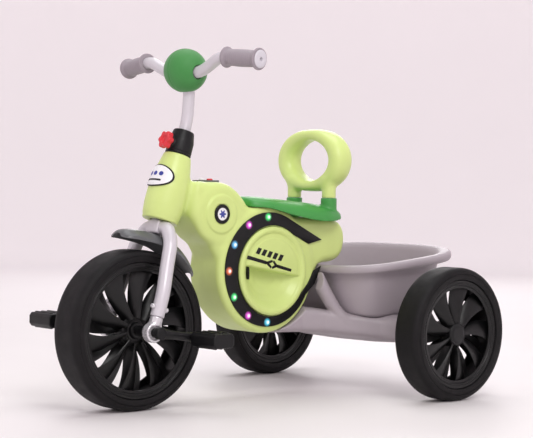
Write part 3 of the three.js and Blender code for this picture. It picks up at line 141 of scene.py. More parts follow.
def add_area(name, place, aim, size, power, colour=(1, 1, 1)):
    """A soft rectangular light at a place, turned towards its aim."""
    data = bpy.data.lights.new(name, "AREA")
    data.shape = "RECTANGLE"
    data.size = data.size_y = size
    data.energy = power
    data.color = colour
    light = bpy.data.objects.new(name, data)
    light.location = place
    light.rotation_euler = (Vector(aim) - Vector(place)).to_track_quat("-Z", "Y").to_euler()
    bpy.context.collection.objects.link(light)


def add_stage():
    """A pale round floor that sweeps up into a pale wall, both far larger than the view."""
    steps, segments = 16, 72
    flat, sweep, wall_height = 4.2, 1.6, 6.0
    profile = [(0.001, 0.0), (1.5, 0.0), (3.2, 0.0)]
    for i in range(steps + 1):
        angle = math.pi / 2 * i / steps
        profile.append((flat + sweep * math.sin(angle), sweep * (1 - math.cos(angle))))
    profile.append((flat + sweep, wall_height))
    points = []
    for reach, height in profile:
        for k in range(segments):
            angle = 2 * math.pi * k / segments
            points.append((reach * math.cos(angle), reach * math.sin(angle), height))
    mesh = bpy.data.meshes.new("studio_floor")
    faces = [tuple(reversed(face)) for face in grid_faces(len(profile), segments)]
    mesh.from_pydata(points, [], faces)
    mesh.polygons.foreach_set("use_smooth", [True] * len(faces))
    floor = bpy.data.objects.new("studio_floor", mesh)
    bpy.context.collection.objects.link(floor)
    floor.data.materials.append(studio_material())


def studio_material():
    """Pale matt paper that glows faintly far from the object, so that the wall stays as pale."""
    n = Nodes("studio_pale")
    length = n.add("ShaderNodeVectorMath", operation="LENGTH")
    n.link(n.place, length.inputs[0])
    far = n.ranged(length.outputs["Value"], 1.2, 4.5, 0, 1)
    n.link(n.mixed(far, (0.0, 0.0, 0.0), (0.25, 0.226, 0.24)), n.shader.inputs["Emission Color"])
    n.shader.inputs["Emission Strength"].default_value = 1
    paper = n.mixed(n.noise(3, 2), (0.79, 0.755, 0.76), (0.81, 0.775, 0.78))
    n.link(paper, n.shader.inputs["Base Color"])
    n.link(n.ranged(n.noise(5, 2), 0.3, 0.7, 0.55, 0.65), n.shader.inputs["Roughness"])
    return n.material


def light_scene():
    """A pale world, a key light from the front left, and three weaker ones."""
    world = bpy.data.worlds.new("studio")
    world.use_nodes = True
    background = world.node_tree.nodes["Background"]
    background.inputs["Color"].default_value = (0.95, 0.93, 0.95, 1)
    background.inputs["Strength"].default_value = 0.4
    bpy.context.scene.world = world
    add_area("key", (2.4, -1.2, 2.4), (0, 0, 0.2), 1.4, 46, (1, 0.99, 0.975))
    add_area("fill", (-0.6, -2.8, 1.5), (0, -0.1, 0.25), 1.8, 4)
    add_area("top", (-0.2, 0.3, 2.8), (0, 0, 0), 2.0, 34)
    add_area("back", (-2.0, 2.2, 1.6), (0, 0, 0.3), 1.4, 18)
    bpy.context.scene.view_settings.view_transform = "Standard"


# ---- Materials --------------------------------------------------------------------------------------
def srgb(r, g, b):
    """A colour given as 0 to 255 display values, as the shader's linear values."""
    return tuple(((v / 255 + 0.055) / 1.055) ** 2.4 if v > 10 else v / 255 / 12.92 for v in (r, g, b))


class Nodes:
    """Short names for building a material's nodes."""

    def __init__(self, name):
        self.material = bpy.data.materials.new(name)
        self.material.use_nodes = True
        self.tree = self.material.node_tree
        self.shader = self.tree.nodes["Principled BSDF"]
        self.place = self.add("ShaderNodeTexCoord").outputs["Object"]

    def add(self, kind, **values):
        node = self.tree.nodes.new(kind)
        for key, value in values.items():
            setattr(node, key, value)
        return node

    def link(self, source, target):
        self.tree.links.new(source, target)

    def noise(self, scale, detail=3, stretch=None):
        node = self.add("ShaderNodeTexNoise")
        node.inputs["Scale"].default_value = scale
        node.inputs["Detail"].default_value = detail
        place = self.place
        if stretch:
            mapping = self.add("ShaderNodeMapping")
            mapping.inputs["Scale"].default_value = stretch
            self.link(place, mapping.inputs["Vector"])
            place = mapping.outputs["Vector"]
        self.link(place, node.inputs["Vector"])
        return node.outputs["Fac"]

    def ranged(self, value, from_low, from_high, to_low, to_high):
        node = self.add("ShaderNodeMapRange")
        self.link(value, node.inputs["Value"])
        for key, number in zip(
            ("From Min", "From Max", "To Min", "To Max"), (from_low, from_high, to_low, to_high)
        ):
            node.inputs[key].default_value = number
        return node.outputs["Result"]

    def mixed(self, factor, first, second):
        node = self.add("ShaderNodeMix", data_type="RGBA")
        self.link(factor, node.inputs[0])
        for value, socket in ((first, node.inputs[6]), (second, node.inputs[7])):
            if isinstance(value, tuple):
                socket.default_value = (*value, 1)
            else:
                self.link(value, socket)
        return node.outputs[2]

    def bump(self, height, strength, distance, below=None):
        node = self.add("ShaderNodeBump")
        node.inputs["Strength"].default_value = strength
        node.inputs["Distance"].default_value = distance
        self.link(height, node.inputs["Height"])
        if below is not None:
            self.link(below, node.inputs["Normal"])
        return node.outputs["Normal"]


def moulded(
    name, colour, rough=0.4, vary=0.06, grain=0.25, grain_scale=1400, coat=0.0, wear=0.2, metallic=0.0,
    specular=0.5, stretch=None, soft=0.0, slow=0.22
):
    """Moulded plastic, foam, paint or metal: slow colour drift, a fine grain, faint scuffs, and edges
    that are rubbed a little lighter."""
    n = Nodes(name)
    dark = tuple(v * (1 - vary) for v in colour)
    light = tuple(min(1, v * (1 + vary)) for v in colour)
    drift = n.ranged(n.noise(9, 3), 0.3, 0.7, 0, 1)
    base = n.mixed(drift, dark, light)
    mottle = n.ranged(n.noise(120, 4), 0.35, 0.75, 0, 1)
    base = n.mixed(n.ranged(mottle, 0, 1, 0, 0.35), base, dark)
    edge = n.add("ShaderNodeNewGeometry").outputs["Pointiness"]
    rubbed = tuple(min(1, v * 1.18 + 0.015) for v in colour)
    base = n.mixed(n.ranged(edge, 0.53, 0.62, 0, wear), base, rubbed)
    n.link(base, n.shader.inputs["Base Color"])
    scuffs = n.noise(60, 5, stretch)
    n.link(n.ranged(scuffs, 0.3, 0.75, rough - 0.05, rough + 0.09), n.shader.inputs["Roughness"])
    wavy = n.bump(n.noise(24, 2), slow, 0.0005)
    n.link(n.bump(n.noise(grain_scale, 3), grain, 0.00012, wavy), n.shader.inputs["Normal"])
    n.shader.inputs["Metallic"].default_value = metallic
    n.shader.inputs["Specular IOR Level"].default_value = specular
    n.shader.inputs["Coat Weight"].default_value = coat
    n.shader.inputs["Coat Roughness"].default_value = 0.2
    if soft:
        n.shader.inputs["Sheen Weight"].default_value = soft
        n.shader.inputs["Sheen Roughness"].default_value = 0.5
    return n.material


def glowing(name, strength):
    """Lens plastic that glows by the colour painted on its points."""
    n = Nodes(name)
    colour = n.add("ShaderNodeAttribute", attribute_name="glow").outputs["Color"]
    dimmed = n.mixed(n.ranged(n.noise(500, 2), 0.3, 0.7, 0, 0.15), colour, (0.0, 0.0, 0.0))
    n.link(dimmed, n.shader.inputs["Emission Color"])
    n.shader.inputs["Emission Strength"].default_value = strength
    n.shader.inputs["Base Color"].default_value = (0.012, 0.012, 0.014, 1)
    n.link(n.ranged(n.noise(90, 3), 0.3, 0.7, 0.2, 0.35), n.shader.inputs["Roughness"])
    n.link(n.bump(n.noise(900, 2), 0.15, 0.0001), n.shader.inputs["Normal"])
    return n.material


MATERIALS = {
    "lime": moulded("lime_plastic", srgb(206, 224, 136), 0.38, 0.04, 0.2, coat=0.12, wear=0.35),
    "green": moulded("green_plastic", srgb(62, 148, 66), 0.42, 0.06, 0.3, coat=0.08, wear=0.25),
    "foam": moulded("green_foam", srgb(58, 132, 62), 0.62, 0.06, 0.5, 700, wear=0.1, soft=0.15),
    "red": moulded("red_plastic", srgb(214, 34, 48), 0.35, 0.06, 0.2, coat=0.2),
    "white": moulded("white_plastic", srgb(236, 236, 238), 0.3, 0.02, 0.1, coat=0.3, wear=0.05),
    "silver": moulded(
        "silver_paint", srgb(206, 202, 208), 0.36, 0.03, 0.1, 2600, coat=0.25, wear=0.1, metallic=0.12,
        slow=0.02,
    ),
    "grip": moulded("grip_rubber", srgb(150, 141, 148), 0.6, 0.05, 0.6, 900, wear=0.2, soft=0.1),
    "pale": moulded("pale_plastic", srgb(208, 205, 212), 0.45, 0.03, 0.2),
    "slate": moulded("slate_plastic", srgb(92, 94, 96), 0.34, 0.06, 0.2, coat=0.15),
    "bin": moulded("bin_plastic", srgb(166, 157, 163), 0.42, 0.04, 0.25, 1100, wear=0.6),
    "black": moulded("black_plastic", srgb(12, 12, 14), 0.42, 0.15, 0.3, wear=0.3, specular=0.32),
    "rim": moulded("black_rim", srgb(10, 10, 11), 0.36, 0.15, 0.2, wear=0.3, specular=0.36),
    "tyre": moulded("tyre_foam", srgb(15, 13, 15), 0.6, 0.15, 0.6, 800, wear=0.3, specular=0.26),
    "steel": moulded(
        "steel", srgb(168, 168, 172), 0.28, 0.06, 0.08, 2000, metallic=0.85, wear=0.2, slow=0.02
    ),
    "chrome": moulded(
        "bright_steel", srgb(222, 220, 224), 0.26, 0.04, 0.04, 2000, metallic=0.55, wear=0.1, slow=0.01
    ),
    "ink": moulded("blue_ink", srgb(52, 62, 148), 0.35, 0.08, 0.15),
    "glow": glowing("led_glow", 1.0),
}


# ---- Making meshes ----------------------------------------------------------------------------------
def make_object(name, points, faces, sharp=35):
    """A smooth-shaded mesh from millimetre points; edges sharper than the angle stay crisp."""
    mesh = bpy.data.meshes.new(name)
    mesh.from_pydata((np.asarray(points, float) * MM).tolist(), [], [tuple(map(int, f)) for f in faces])
    tidy = bmesh.new()
    tidy.from_mesh(mesh)
    bmesh.ops.remove_doubles(tidy, verts=tidy.verts, dist=1e-6)
    bmesh.ops.recalc_face_normals(tidy, faces=tidy.faces)
    tidy.to_mesh(mesh)
    tidy.free()
    mesh.polygons.foreach_set("use_smooth", [True] * len(mesh.polygons))
    mesh.set_sharp_from_angle(angle=math.radians(sharp))
    made = bpy.data.objects.new(name, mesh)
    bpy.context.collection.objects.link(made)
    return made


def settle(made, body, material, *replaced):
    """Gives a piece its finish, its body and the CAD nodes that it stands for."""
    made.data.materials.clear()
    made.data.materials.append(MATERIALS[material])
    if replaced:
        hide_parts(*replaced)
    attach(made, body)


def piece(name, part, body, material, *replaced, sharp=35):
    """A finished piece from its (points, faces)."""
    settle(make_object(name, *part, sharp), body, material, *replaced)


def detailed(node, part, body, material, sharp=35):
    """A finished piece that stands for one CAD node."""
    piece(f"{node}_detailed", part, body, material, node, sharp=sharp)


def grown(node, field, step, body, material, margin=3, sharp=60, bottom=None):
    """A finished piece from a distance field, which is read in the CAD node's box and a margin round it."""
    low, high = span(node)
    if bottom is not None:
        low[2] = bottom
    detailed(node, surface(field, low - margin, high + margin, step), body, material, sharp)


def joined(parts):
    """Several (points, faces) as one."""
    points, faces, start = [], [], 0
    for some, corners in parts:
        points.append(np.asarray(some, float))
        faces.extend([tuple(i + start for i in face) for face in corners])
        start += len(some)
    return np.concatenate(points), faces


def grid_faces(rows, columns, close_rows=False, close_columns=True):
    """The quads between neighbouring rows of points."""
    faces = []
    for i in range(rows if close_rows else rows - 1):
        for k in range(columns if close_columns else columns - 1):
            a, b = i % rows, (i + 1) % rows
            c, d = k % columns, (k + 1) % columns
            faces.append((a * columns + c, a * columns + d, b * columns + d, b * columns + c))
    return faces


def lathe(profile, segments=96, ring=False):
    """[radius, x] pairs turned about the X axis. A ring profile closes on itself, and any other ends on
    the axis."""
    angles = np.arange(segments) / segments * 2 * math.pi
    points = []
    for radius, along in profile:
        reach = max(radius, 0.001)
        points.append(np.stack([np.full(segments, along), reach * np.cos(angles), reach * np.sin(angles)], 1))
    faces = grid_faces(len(profile), segments, close_rows=ring)
    return np.concatenate(points), faces


def moved(part, offset):
    return part[0] + np.asarray(offset, float), part[1]


def flipped(part):
    """The mirror image across the middle."""
    points = part[0] * np.array([-1.0, 1.0, 1.0])
    return points, [tuple(reversed(face)) for face in part[1]]


def sided(part, side):
    """The left part as it is, or its mirror image for the right."""
    return part if side > 0 else flipped(part)


def mirrored(side):
    """A profile of [radius, x] pairs and its mirror image, as one."""
    return side + [(r, -x) for r, x in reversed(side)]


def stood(part):
    """From steering coordinates (x, t, s) to the row frame."""
    return world_of(part[0]), part[1]


def world_of(points):
    points = np.asarray(points, float)
    x, t, s = points[..., 0], points[..., 1], points[..., 2]
    return np.stack([x, FRONT_Y + t * COS_L + s * SIN_L, FRONT_RADIUS - t * SIN_L + s * COS_L], -1)


def local_of(p):
    """From the row frame to steering coordinates, as three arrays."""
    y, z = p[:, 1] - FRONT_Y, p[:, 2] - FRONT_RADIUS
    return p[:, 0], y * COS_L - z * SIN_L, y * SIN_L + z * COS_L


def bent_path(corners, bend, rings=10):
    """A line through corners, each rounded off."""
    points = [Vector(c) for c in corners]
    path = [points[0]]
    for before, here, after in zip(points, points[1:], points[2:]):
        back, on = before - here, after - here
        setback = min(bend, back.length * 0.45, on.length * 0.45)
        start, end = here + back.normalized() * setback, here + on.normalized() * setback
        for i in range(rings + 1):
            u = i / rings
            path.append(start * (1 - u) ** 2 + here * 2 * u * (1 - u) + end * u * u)
    path.append(points[-1])
    return path


def tube(corners, radius, bend, sides=32, end_round=0.8):
    """A round bar along a bent line, its ends eased."""
    path = bent_path(corners, bend)
    start = (path[1] - path[0]).normalized()
    across = start.orthogonal().normalized()
    rings, tangent = [], start
    for i, point in enumerate(path):
        before, after = path[max(i - 1, 0)], path[min(i + 1, len(path) - 1)]
        turned = ((point - before).normalized() + (after - point).normalized()).normalized()
        across = tangent.rotation_difference(turned) @ across
        tangent = turned
        rings.append((point, across.copy(), tangent.cross(across), radius))
    (first, *first_across, _), (last, *last_across, _) = rings[0], rings[-1]
    inner = radius - end_round
    begin = [(first, *first_across, 0.001), (first, *first_across, inner)]
    begin.append((first + start * end_round, *first_across, radius))
    finish = [(last - tangent * end_round, *last_across, radius)]
    finish += [(last, *last_across, inner), (last, *last_across, 0.001)]
    rings = begin + rings[1:-1] + finish
    points = []
    for centre, u, v, reach in rings:
        for k in range(sides):
            angle = 2 * math.pi * k / sides
            points.append(centre + (u * math.cos(angle) + v * math.sin(angle)) * reach)
    return np.array([tuple(p) for p in points]), grid_faces(len(rings), sides)


def plate(outline, x_from, x_to, ease=0.5, steps=2):
    """A side outline of [y, z] pairs, raised from x_from to x_to, its outer edge eased."""
    outline = np.asarray(outline, float)
    after, before = np.roll(outline, -1, 0), np.roll(outline, 1, 0)
    along = after - before
    along /= np.linalg.norm(along, axis=1)[:, None]
    inward = np.stack([-along[:, 1], along[:, 0]], 1)
    area = np.sum(outline[:, 0] * after[:, 1] - outline[:, 1] * after[:, 0])
    inward *= 1 if area > 0 else -1
    rings = [(0, x_from), (0, x_to - ease)]
    for i in range(1, steps + 1):
        angle = math.pi / 2 * i / steps
        rings.append((ease * (1 - math.cos(angle)), x_to - ease + ease * math.sin(angle)))
    points = []
    for inset, x in rings:
        flat = outline + inward * inset
        points.append(np.column_stack([np.full(len(flat), x), flat]))
    count = len(outline)
    faces = grid_faces(len(rings), count)
    faces.append(tuple(reversed(range(count))))
    faces.append(tuple(range((len(rings) - 1) * count, len(rings) * count)))
    return np.concatenate(points), faces


def arc(centre, radius, start, end, count):
    """Points on an arc between two angles in degrees."""
    angles = np.radians(np.linspace(start, end, count))
    return [(centre[0] + radius * math.cos(a), centre[1] + radius * math.sin(a)) for a in angles]


# ---- Rounded solids from distance fields ------------------------------------------------------------
def smooth_union(a, b, blend):
    """Two solids as one, with a fillet where they meet."""
    h = np.clip(0.5 + 0.5 * (b - a) / blend, 0, 1)
    return b + (a - b) * h - blend * h * (1 - h)


def smooth_cut(a, b, blend):
    return -smooth_union(-a, b, blend)


def rounded(rounding, *distances):
    """The distance to the solid that lies inside all the given distances, with rounded edges."""
    w = np.stack(distances, 1) + rounding
    return np.minimum(w.max(1), 0) + np.linalg.norm(np.maximum(w, 0), axis=1) - rounding


def within(value, low, high):
    """The distance to a layer between two levels."""
    return np.maximum(low - value, value - high)


def disc(p, y, z, radius, x_from, x_to, rounding):
    """A round solid about a line along X."""
    across = np.hypot(p[:, 1] - y, p[:, 2] - z) - radius
    return rounded(rounding, across, within(p[:, 0], x_from, x_to))


def column(p, x, y, radius, z_from, z_to, rounding):
    """A round solid about an upright line."""
    across = np.hypot(p[:, 0] - x, p[:, 1] - y) - radius
    return rounded(rounding, across, within(p[:, 2], z_from, z_to))


def outline_distance(u, v, outline):
    """The signed distance to a closed outline, negative inside."""
    outline = np.asarray(outline, float)
    best = np.full(u.shape, 1e18)
    inside = np.zeros(u.shape, bool)
    for (au, av), (bu, bv) in zip(outline, np.roll(outline, -1, 0)):
        du, dv = bu - au, bv - av
        share = np.clip(((u - au) * du + (v - av) * dv) / max(du * du + dv * dv, 1e-12), 0, 1)
        best = np.minimum(best, (u - au - du * share) ** 2 + (v - av - dv * share) ** 2)
        crosses = (av > v) != (bv > v)
        if bv != av:
            inside ^= crosses & (u < au + (v - av) / (bv - av) * du)
    return np.where(inside, -1, 1) * np.sqrt(best)


def eased_outline(outline, rounds=3):
    """An outline with its corners cut back until they are round."""
    points = np.asarray(outline, float)
    for _ in range(rounds):
        after = np.roll(points, -1, 0)
        points = np.stack([points * 0.75 + after * 0.25, points * 0.25 + after * 0.75], 1).reshape(-1, 2)
    return points


def surface(field, low, high, step, pulls=3):
    """The closed surface where a field crosses zero, as (points, faces): one point for each crossed
    cell, pulled onto the surface."""
    counts = [int(math.ceil((b - a) / step)) + 1 for a, b in zip(low, high)]
    axes = [a + np.arange(n) * step for a, n in zip(low, counts)]
    values = np.empty(counts, np.float32)
    plane_y, plane_z = np.meshgrid(axes[1], axes[2], indexing="ij")
    for i, x in enumerate(axes[0]):
        p = np.stack([np.full(plane_y.size, x), plane_y.ravel(), plane_z.ravel()], 1)
        values[i] = field(p).reshape(plane_y.shape)
    for layers in (values, values.transpose(1, 0, 2), values.transpose(2, 0, 1)):
        for end in (0, -1):
            layers[end] = abs(layers[end]) + 0.01
    values[values == 0] = 1e-6
    inside = values < 0
    cells = [n - 1 for n in counts]
    total = np.zeros((*cells, 3), np.float32)
    crossings = np.zeros(cells, np.float32)
    for axis in range(3):
        first, second = (k for k in range(3) if k != axis)
        for a in (0, 1):
            for b in (0, 1):
                place = [0, 0, 0]
                place[first], place[second] = a, b
                near = tuple(slice(o, o + c) for o, c in zip(place, cells))
                place[axis] = 1
                far = tuple(slice(o, o + c) for o, c in zip(place, cells))
                v0, v1 = values[near], values[far]
                hit = inside[near] != inside[far]
                place[axis] = np.where(hit, v0 / np.where(hit, v0 - v1, 1), 0)
                for k in range(3):
                    total[..., k] += np.where(hit, place[k], 0)
                crossings += hit
    used = crossings > 0
    index = np.full(cells, -1, np.int64)
    index[used] = np.arange(used.sum())
    where = np.argwhere(used)
    points = (where + total[used] / crossings[used][:, None]) * step + np.array(low)
    faces = []
    for axis in range(3):
        first, second = (k for k in range(3) if k != axis)
        near, far = [slice(1, -1)] * 3, [slice(1, -1)] * 3
        near[axis], far[axis] = slice(0, -1), slice(1, None)
        hit = inside[tuple(near)] != inside[tuple(far)]
        starts = np.argwhere(hit)
        rising = inside[tuple(near)][hit]
        corners = []
        for a, b in ((0, 0), (1, 0), (1, 1), (0, 1)):
            cell = starts.copy()
            cell[:, first] += a
            cell[:, second] += b
            corners.append(index[tuple(cell.T)])
        quads = np.stack(corners, 1)
        flip = rising if axis != 1 else ~rising
        quads[~flip] = quads[~flip][:, ::-1]
        faces.extend(quads.tolist())
    small = 0.05
    for _ in range(pulls):
        value = field(points)
        nudges = np.eye(3) * small
        slope = np.stack([(field(points + n) - field(points - n)) / (2 * small) for n in nudges], 1)
        steep = np.maximum((slope**2).sum(1), 0.05)
        points = points - np.clip(value / steep, -step / 2, step / 2)[:, None] * slope
    return points, faces


# ---- Wheels -----------------------------------------------------------------------------------------
def tyre_profile(radius, half, depth):
    """From the seat on the rim, over the sidewall with its ridge, across the flat tread and back."""
    inner = radius - depth
    side = [
        (inner, half - 2.4), (inner + 0.8, half - 1.2), (inner + 3, half - 0.6), (inner + 6, half - 0.15),
        (inner + 7.4, half), (inner + 8.4, half - 0.25), (inner + 9, half - 1.1), (inner + 9.6, half - 1.2),
        (inner + 10.2, half - 0.5), (radius - 6, half - 1.1), (radius - 3.8, half - 2.4),
        (radius - 2, half - 4.4), (radius - 0.8, half - 7), (radius - 0.2, half - 10),
        (radius, half - 13), (radius, half - 18), (radius, half - 18.3), (radius, 4),
    ]
    return mirrored(side)


def blade(root, tip, root_width, tip_width, depth, wall, sweep, stations=14, columns=6):
    """One turbine blade: a plate that widens outward, twists, and curls across its width."""
    root_twist, tip_twist = 0.95, 0.50
    rings = []
    for i in range(stations + 1):
        u = i / stations
        width = (root_width + (tip_width - root_width) * u) / 2
        twist = root_twist + (tip_twist - root_twist) * u
        along = root + (tip - root) * u
        turn = sweep * u * u
        ring = []
        for through, order in ((1, range(columns + 1)), (-1, range(columns, -1, -1))):
            for k in order:
                across = 2 * k / columns - 1
                thick = wall * (0.35 + 0.65 * math.sqrt(max(0, 1 - across**6)))
                curl = 1.6 * (1 - across * across)
                out = through * thick / 2 + curl
                side = across * width * math.cos(twist) - out * math.sin(twist)
                rise = across * depth * math.sin(twist) + out * math.cos(twist)
                y = along * math.sin(turn) + side * math.cos(turn)
                z = along * math.cos(turn) - side * math.sin(turn)
                ring.append((rise, y, z))
        rings.append(ring)
    points = np.array(rings).reshape(-1, 3)
    count = 2 * (columns + 1)
    faces = grid_faces(stations + 1, count)
    faces.append(tuple(range(count)))
    faces.append(tuple(reversed(range(stations * count, (stations + 1) * count))))
    return points, faces


def about_x(part, angle):
    """A part turned about the X axis."""
    c, s = math.cos(angle), math.sin(angle)
    x, y, z = part[0].T
    return np.stack([x, y * c - z * s, y * s + z * c], 1), part[1]


def rim_parts(seat, half, blades, hub, blade_depth):
    """The barrel with a lip at each side, a step inside it, and two crossed layers of blades."""
    insets = [
        (3.4, 7), (12.4, 5.6), (13.4, 4.2), (13.2, 3.2), (9.4, 2.2), (8.2, 0.5), (6.6, 0.2), (5.6, 0.9),
        (4.6, 0.9), (3.6, 0.1), (1, 0), (0.2, 0.6), (0, 1.6),
    ]
    barrel = mirrored([(seat - inward, half - back) for inward, back in insets])
    parts = [lathe(barrel, 144, ring=True)]
    for i in range(blades):
        vane = blade(hub - 5, seat - 2.9, 17, 43, blade_depth * 0.52, 3.4, 0.2)
        vane = moved(vane, (half * 0.42, 0, 0))
        parts.append(about_x(vane, 2 * math.pi * i / blades))
        parts.append(about_x(flipped(vane), 2 * math.pi * (i + 0.36) / blades))
    return parts


def build_front_wheel():
    place = (0, FRONT_Y, FRONT_RADIUS)
    depth = 18.5
    rubber = lathe(tyre_profile(FRONT_RADIUS, FRONT_HALF, depth), 192, ring=True)
    detailed("front_tyre", moved(rubber, place), "front_wheel", "tyre")
    half = FRONT_HALF - 4
    hub = [
        (0, 21), (9, 21), (11.6, 20.6), (12.6, 19.4), (13, 17), (13.4, 14.4), (15, 13.6), (16.6, 13.6),
        (17, 12.8), (18.2, 12.8), (18.8, 13.6), (21.4, 13.6), (22, 12.8), (23.4, 12.6), (24.6, 12), (25, 11),
    ]
    parts = rim_parts(FRONT_RADIUS - depth - GAP, half, 10, 25, half * 0.8)
    parts.append(lathe(mirrored(hub), 72))
    detailed("front_rim", moved(joined(parts), place), "front_wheel", "rim")
    back = CRANK_LENGTH * math.cos(CRANK_ANGLE)
    down = -CRANK_LENGTH * math.sin(CRANK_ANGLE)
    end = PEDAL_OUT - 5
    corners = [
        (end, back, down), (CRANK_X, back, down), (CRANK_X, 0, 0), (-CRANK_X, 0, 0), (-CRANK_X, -back, -down),
        (-end, -back, -down),
    ]
    collar = [(6.2, 0), (8, 0), (8.3, 0.6), (8.3, 27.2), (8, 27.8), (6.2, 27.8)]
    sleeve = moved(lathe(collar, 40, ring=True), (21.4, 0, 0))
    parts = [tube(corners, AXLE_RADIUS, 7), sleeve, flipped(sleeve)]
    for side in (1, -1):
        parts.append(crank_arm(side, back, down))
        for share, reach in ((0, 9.6), (1, 9.8)):
            boss = lathe(mirrored([(0, 5.8), (reach - 1, 5.8), (reach, 4.8)]), 36)
            parts.append(moved(boss, (side * CRANK_X, side * back * share * 0.93, side * down * share)))
    piece("crank_detailed", moved(joined(parts), place), "front_wheel", "black", "crank_axle")
    for side, name in SIDES:
        build_pedal(side, name, FRONT_Y + side * back, FRONT_RADIUS + side * down)


def crank_arm(side, back, down, segments=24):
    """A flat bar of oval section round one arm of the crank, deeper at its ends."""
    stations = ((0, 8.6), (0.06, 8.2), (0.3, 7.2), (0.7, 7.2), (0.94, 8.8), (1, 9.2))
    points = []
    for share, tall in stations:
        for k in range(segments):
            angle = 2 * math.pi * k / segments
            x = side * CRANK_X + 5.8 * math.cos(angle)
            points.append((x, side * back * share, side * down * share + tall * math.sin(angle)))
    count = len(points)
    ends = [tuple(range(segments)), tuple(reversed(range(count - segments, count)))]
    return np.array(points), grid_faces(len(stations), segments) + ends


def build_pedal(side, name, y, z):
    """A block pedal: chamfered core, raised ribs above and below, and a bearing collar."""
    x_mid = (PEDAL_IN + PEDAL_OUT) / 2
    half_x = (PEDAL_OUT - PEDAL_IN) / 2

    def field(p):
        x, v, w = np.abs(p[:, 0] * side - x_mid), p[:, 1] - y, p[:, 2] - z
        outline = [(-20, -6), (-16, -11), (16, -11), (20, -6), (20, 6), (16, 11), (-16, 11), (-20, 6)]
        core = rounded(1.8, outline_distance(v, w, outline), x - half_x)
        for rib in (-11, 0, 11):
            ridge = rounded(1.2, x - half_x + 6, np.abs(v - rib) - 2.2, np.abs(w) - 13)
            core = smooth_union(core, ridge, 1.0)
        ends = np.stack([x - half_x + 9, np.abs(np.abs(v) - 15.6) - 1.4, np.abs(w) - 8], 1)
        return smooth_cut(core, np.where(np.abs(w) > 9.4, ends.max(1), 99), 1.0)

    low = (side * x_mid - half_x - 2, y - 22, z - 15)
    high = (side * x_mid + half_x + 2, y + 22, z + 15)
    detailed(f"pedal_{name}", surface(field, low, high, 1.0), f"pedal_{name}_body", "black", 50)


def build_rear_wheel(side, name):
    place = (REAR_X * side, REAR_Y, REAR_RADIUS)
    body = f"rear_wheel_{name}"
    depth = 20
    rubber = sided(lathe(tyre_profile(REAR_RADIUS, REAR_HALF, depth), 176, ring=True), side)
    detailed(f"rear_tyre_{name}", moved(rubber, place), body, "tyre")
    half = REAR_HALF - 4
    face = HUB_FACE - 3 - REAR_X
    hub = [
        (6.8, face), (17.4, face), (18.6, face - 0.5), (19, face - 1.6), (19, face - 9), (20.4, face - 11),
        (20.8, face - 13), (20.8, -half + 4), (20, -half), (19, -REAR_HALF + 2.4), (18, -REAR_HALF + 2),
        (6.8, -REAR_HALF + 2),
    ]
    parts = rim_parts(REAR_RADIUS - depth - GAP, half, 9, 19, half * 0.8)
    parts.append(lathe(hub, 72, ring=True))
    detailed(f"rear_rim_{name}", moved(sided(joined(parts), side), place), body, "rim")
    cap = [
        (0, 3.5), (10, 3.4), (14.6, 3.1), (15.4, 2.5), (16, 2.5), (16.6, 2.7), (17.8, 2.2), (18.6, 1.4),
        (19, 0.4), (0, 0.4),
    ]
    cap = sided(moved(lathe(cap, 72), (HUB_FACE - 3, REAR_Y, REAR_RADIUS)), side)
    detailed(f"rear_hub_cap_{name}", cap, body, "black")


# ---- Steering ---------------------------------------------------------------------------------------
def build_fork():
    """Two bent legs with their ends and bolts, and the crown with its steerer."""
    corners = [
        (12, 0, CROWN_S + 1), (26, 0, CROWN_S - 1), (43, 0, CROWN_S - 22), (50, 0, CROWN_S - 66),
        (FORK_X, 0, 62), (FORK_X, 0, 25),
    ]
    for side, name in SIDES:
        leg = stood(sided(tube(corners, FORK_TUBE, 18, 40), side))
        detailed(f"fork_leg_{name}", leg, "fork", "silver")
        build_fork_end(side, name)
        build_fork_pin(side, name)
    steerer_radius = 12.4

    def crown(p):
        x, t, s = local_of(p)
        block = rounded(3, np.abs(x) - 14.5, np.abs(t) - steerer_radius, np.abs(s - CROWN_S) - 10.8)
        steerer = rounded(1, np.hypot(x, t) - steerer_radius, within(s, CROWN_S, COLLAR_TOP_S - 6))
        return smooth_union(block, steerer, 3)

    grown("fork_crown", crown, 1.6, "fork", "silver", sharp=35)


def build_fork_end(side, name):
    """The bright bearing eye on the axle, with its bored face and the neck that enters the leg."""
    eye_radius, eye_back, eye_front = 15.5, 8, 7
    neck_from, neck_to, plug_to = 8, 24.4, 44

    def field(p):
        x, t, s = local_of(p)
        x = x * side
        reach = np.hypot(t, s)
        eye = rounded(2.4, reach - eye_radius, within(x, FORK_X - eye_back, FORK_X + eye_front))
        across = np.hypot(x - FORK_X, t)
        neck = rounded(1.2, across - (10.6 - 0.03 * s), within(s, neck_from, neck_to))
        whole = smooth_union(eye, neck, 3)
        plug = rounded(0.5, across - 8.6, within(s, neck_from, plug_to))
        whole = np.minimum(whole, plug)
        face = rounded(0.4, reach - 11, FORK_X + 5 - x)
        whole = smooth_cut(whole, face, 0.8)
        return np.maximum(whole, AXLE_RADIUS + 0.8 - reach)

    grown(f"fork_end_{name}", field, 0.9, "fork", "chrome", 2, 50)


def build_fork_pin(side, name):
    """A through bolt: domed head with a socket in front, round nut behind."""
    head = [
        (0, 14.6), (1.6, 14.6), (1.8, 16), (3, 15.8), (3.8, 14.6), (4, 12.6), (4, 11.4), (2.1, 11.4),
        (2.1, -11.4),
    ]
    nut = [(3.6, -11.4), (3.9, -12), (3.9, -15.4), (3.4, -16), (0, -16)]
    bolt = lathe(head + nut, 32)
    x, y, z = bolt[0].T
    placed = np.stack([y + FORK_X, -x, z + FORK_PIN_S], 1), bolt[1]
    detailed(f"fork_pin_{name}", stood(sided(placed, side)), "fork", "chrome")


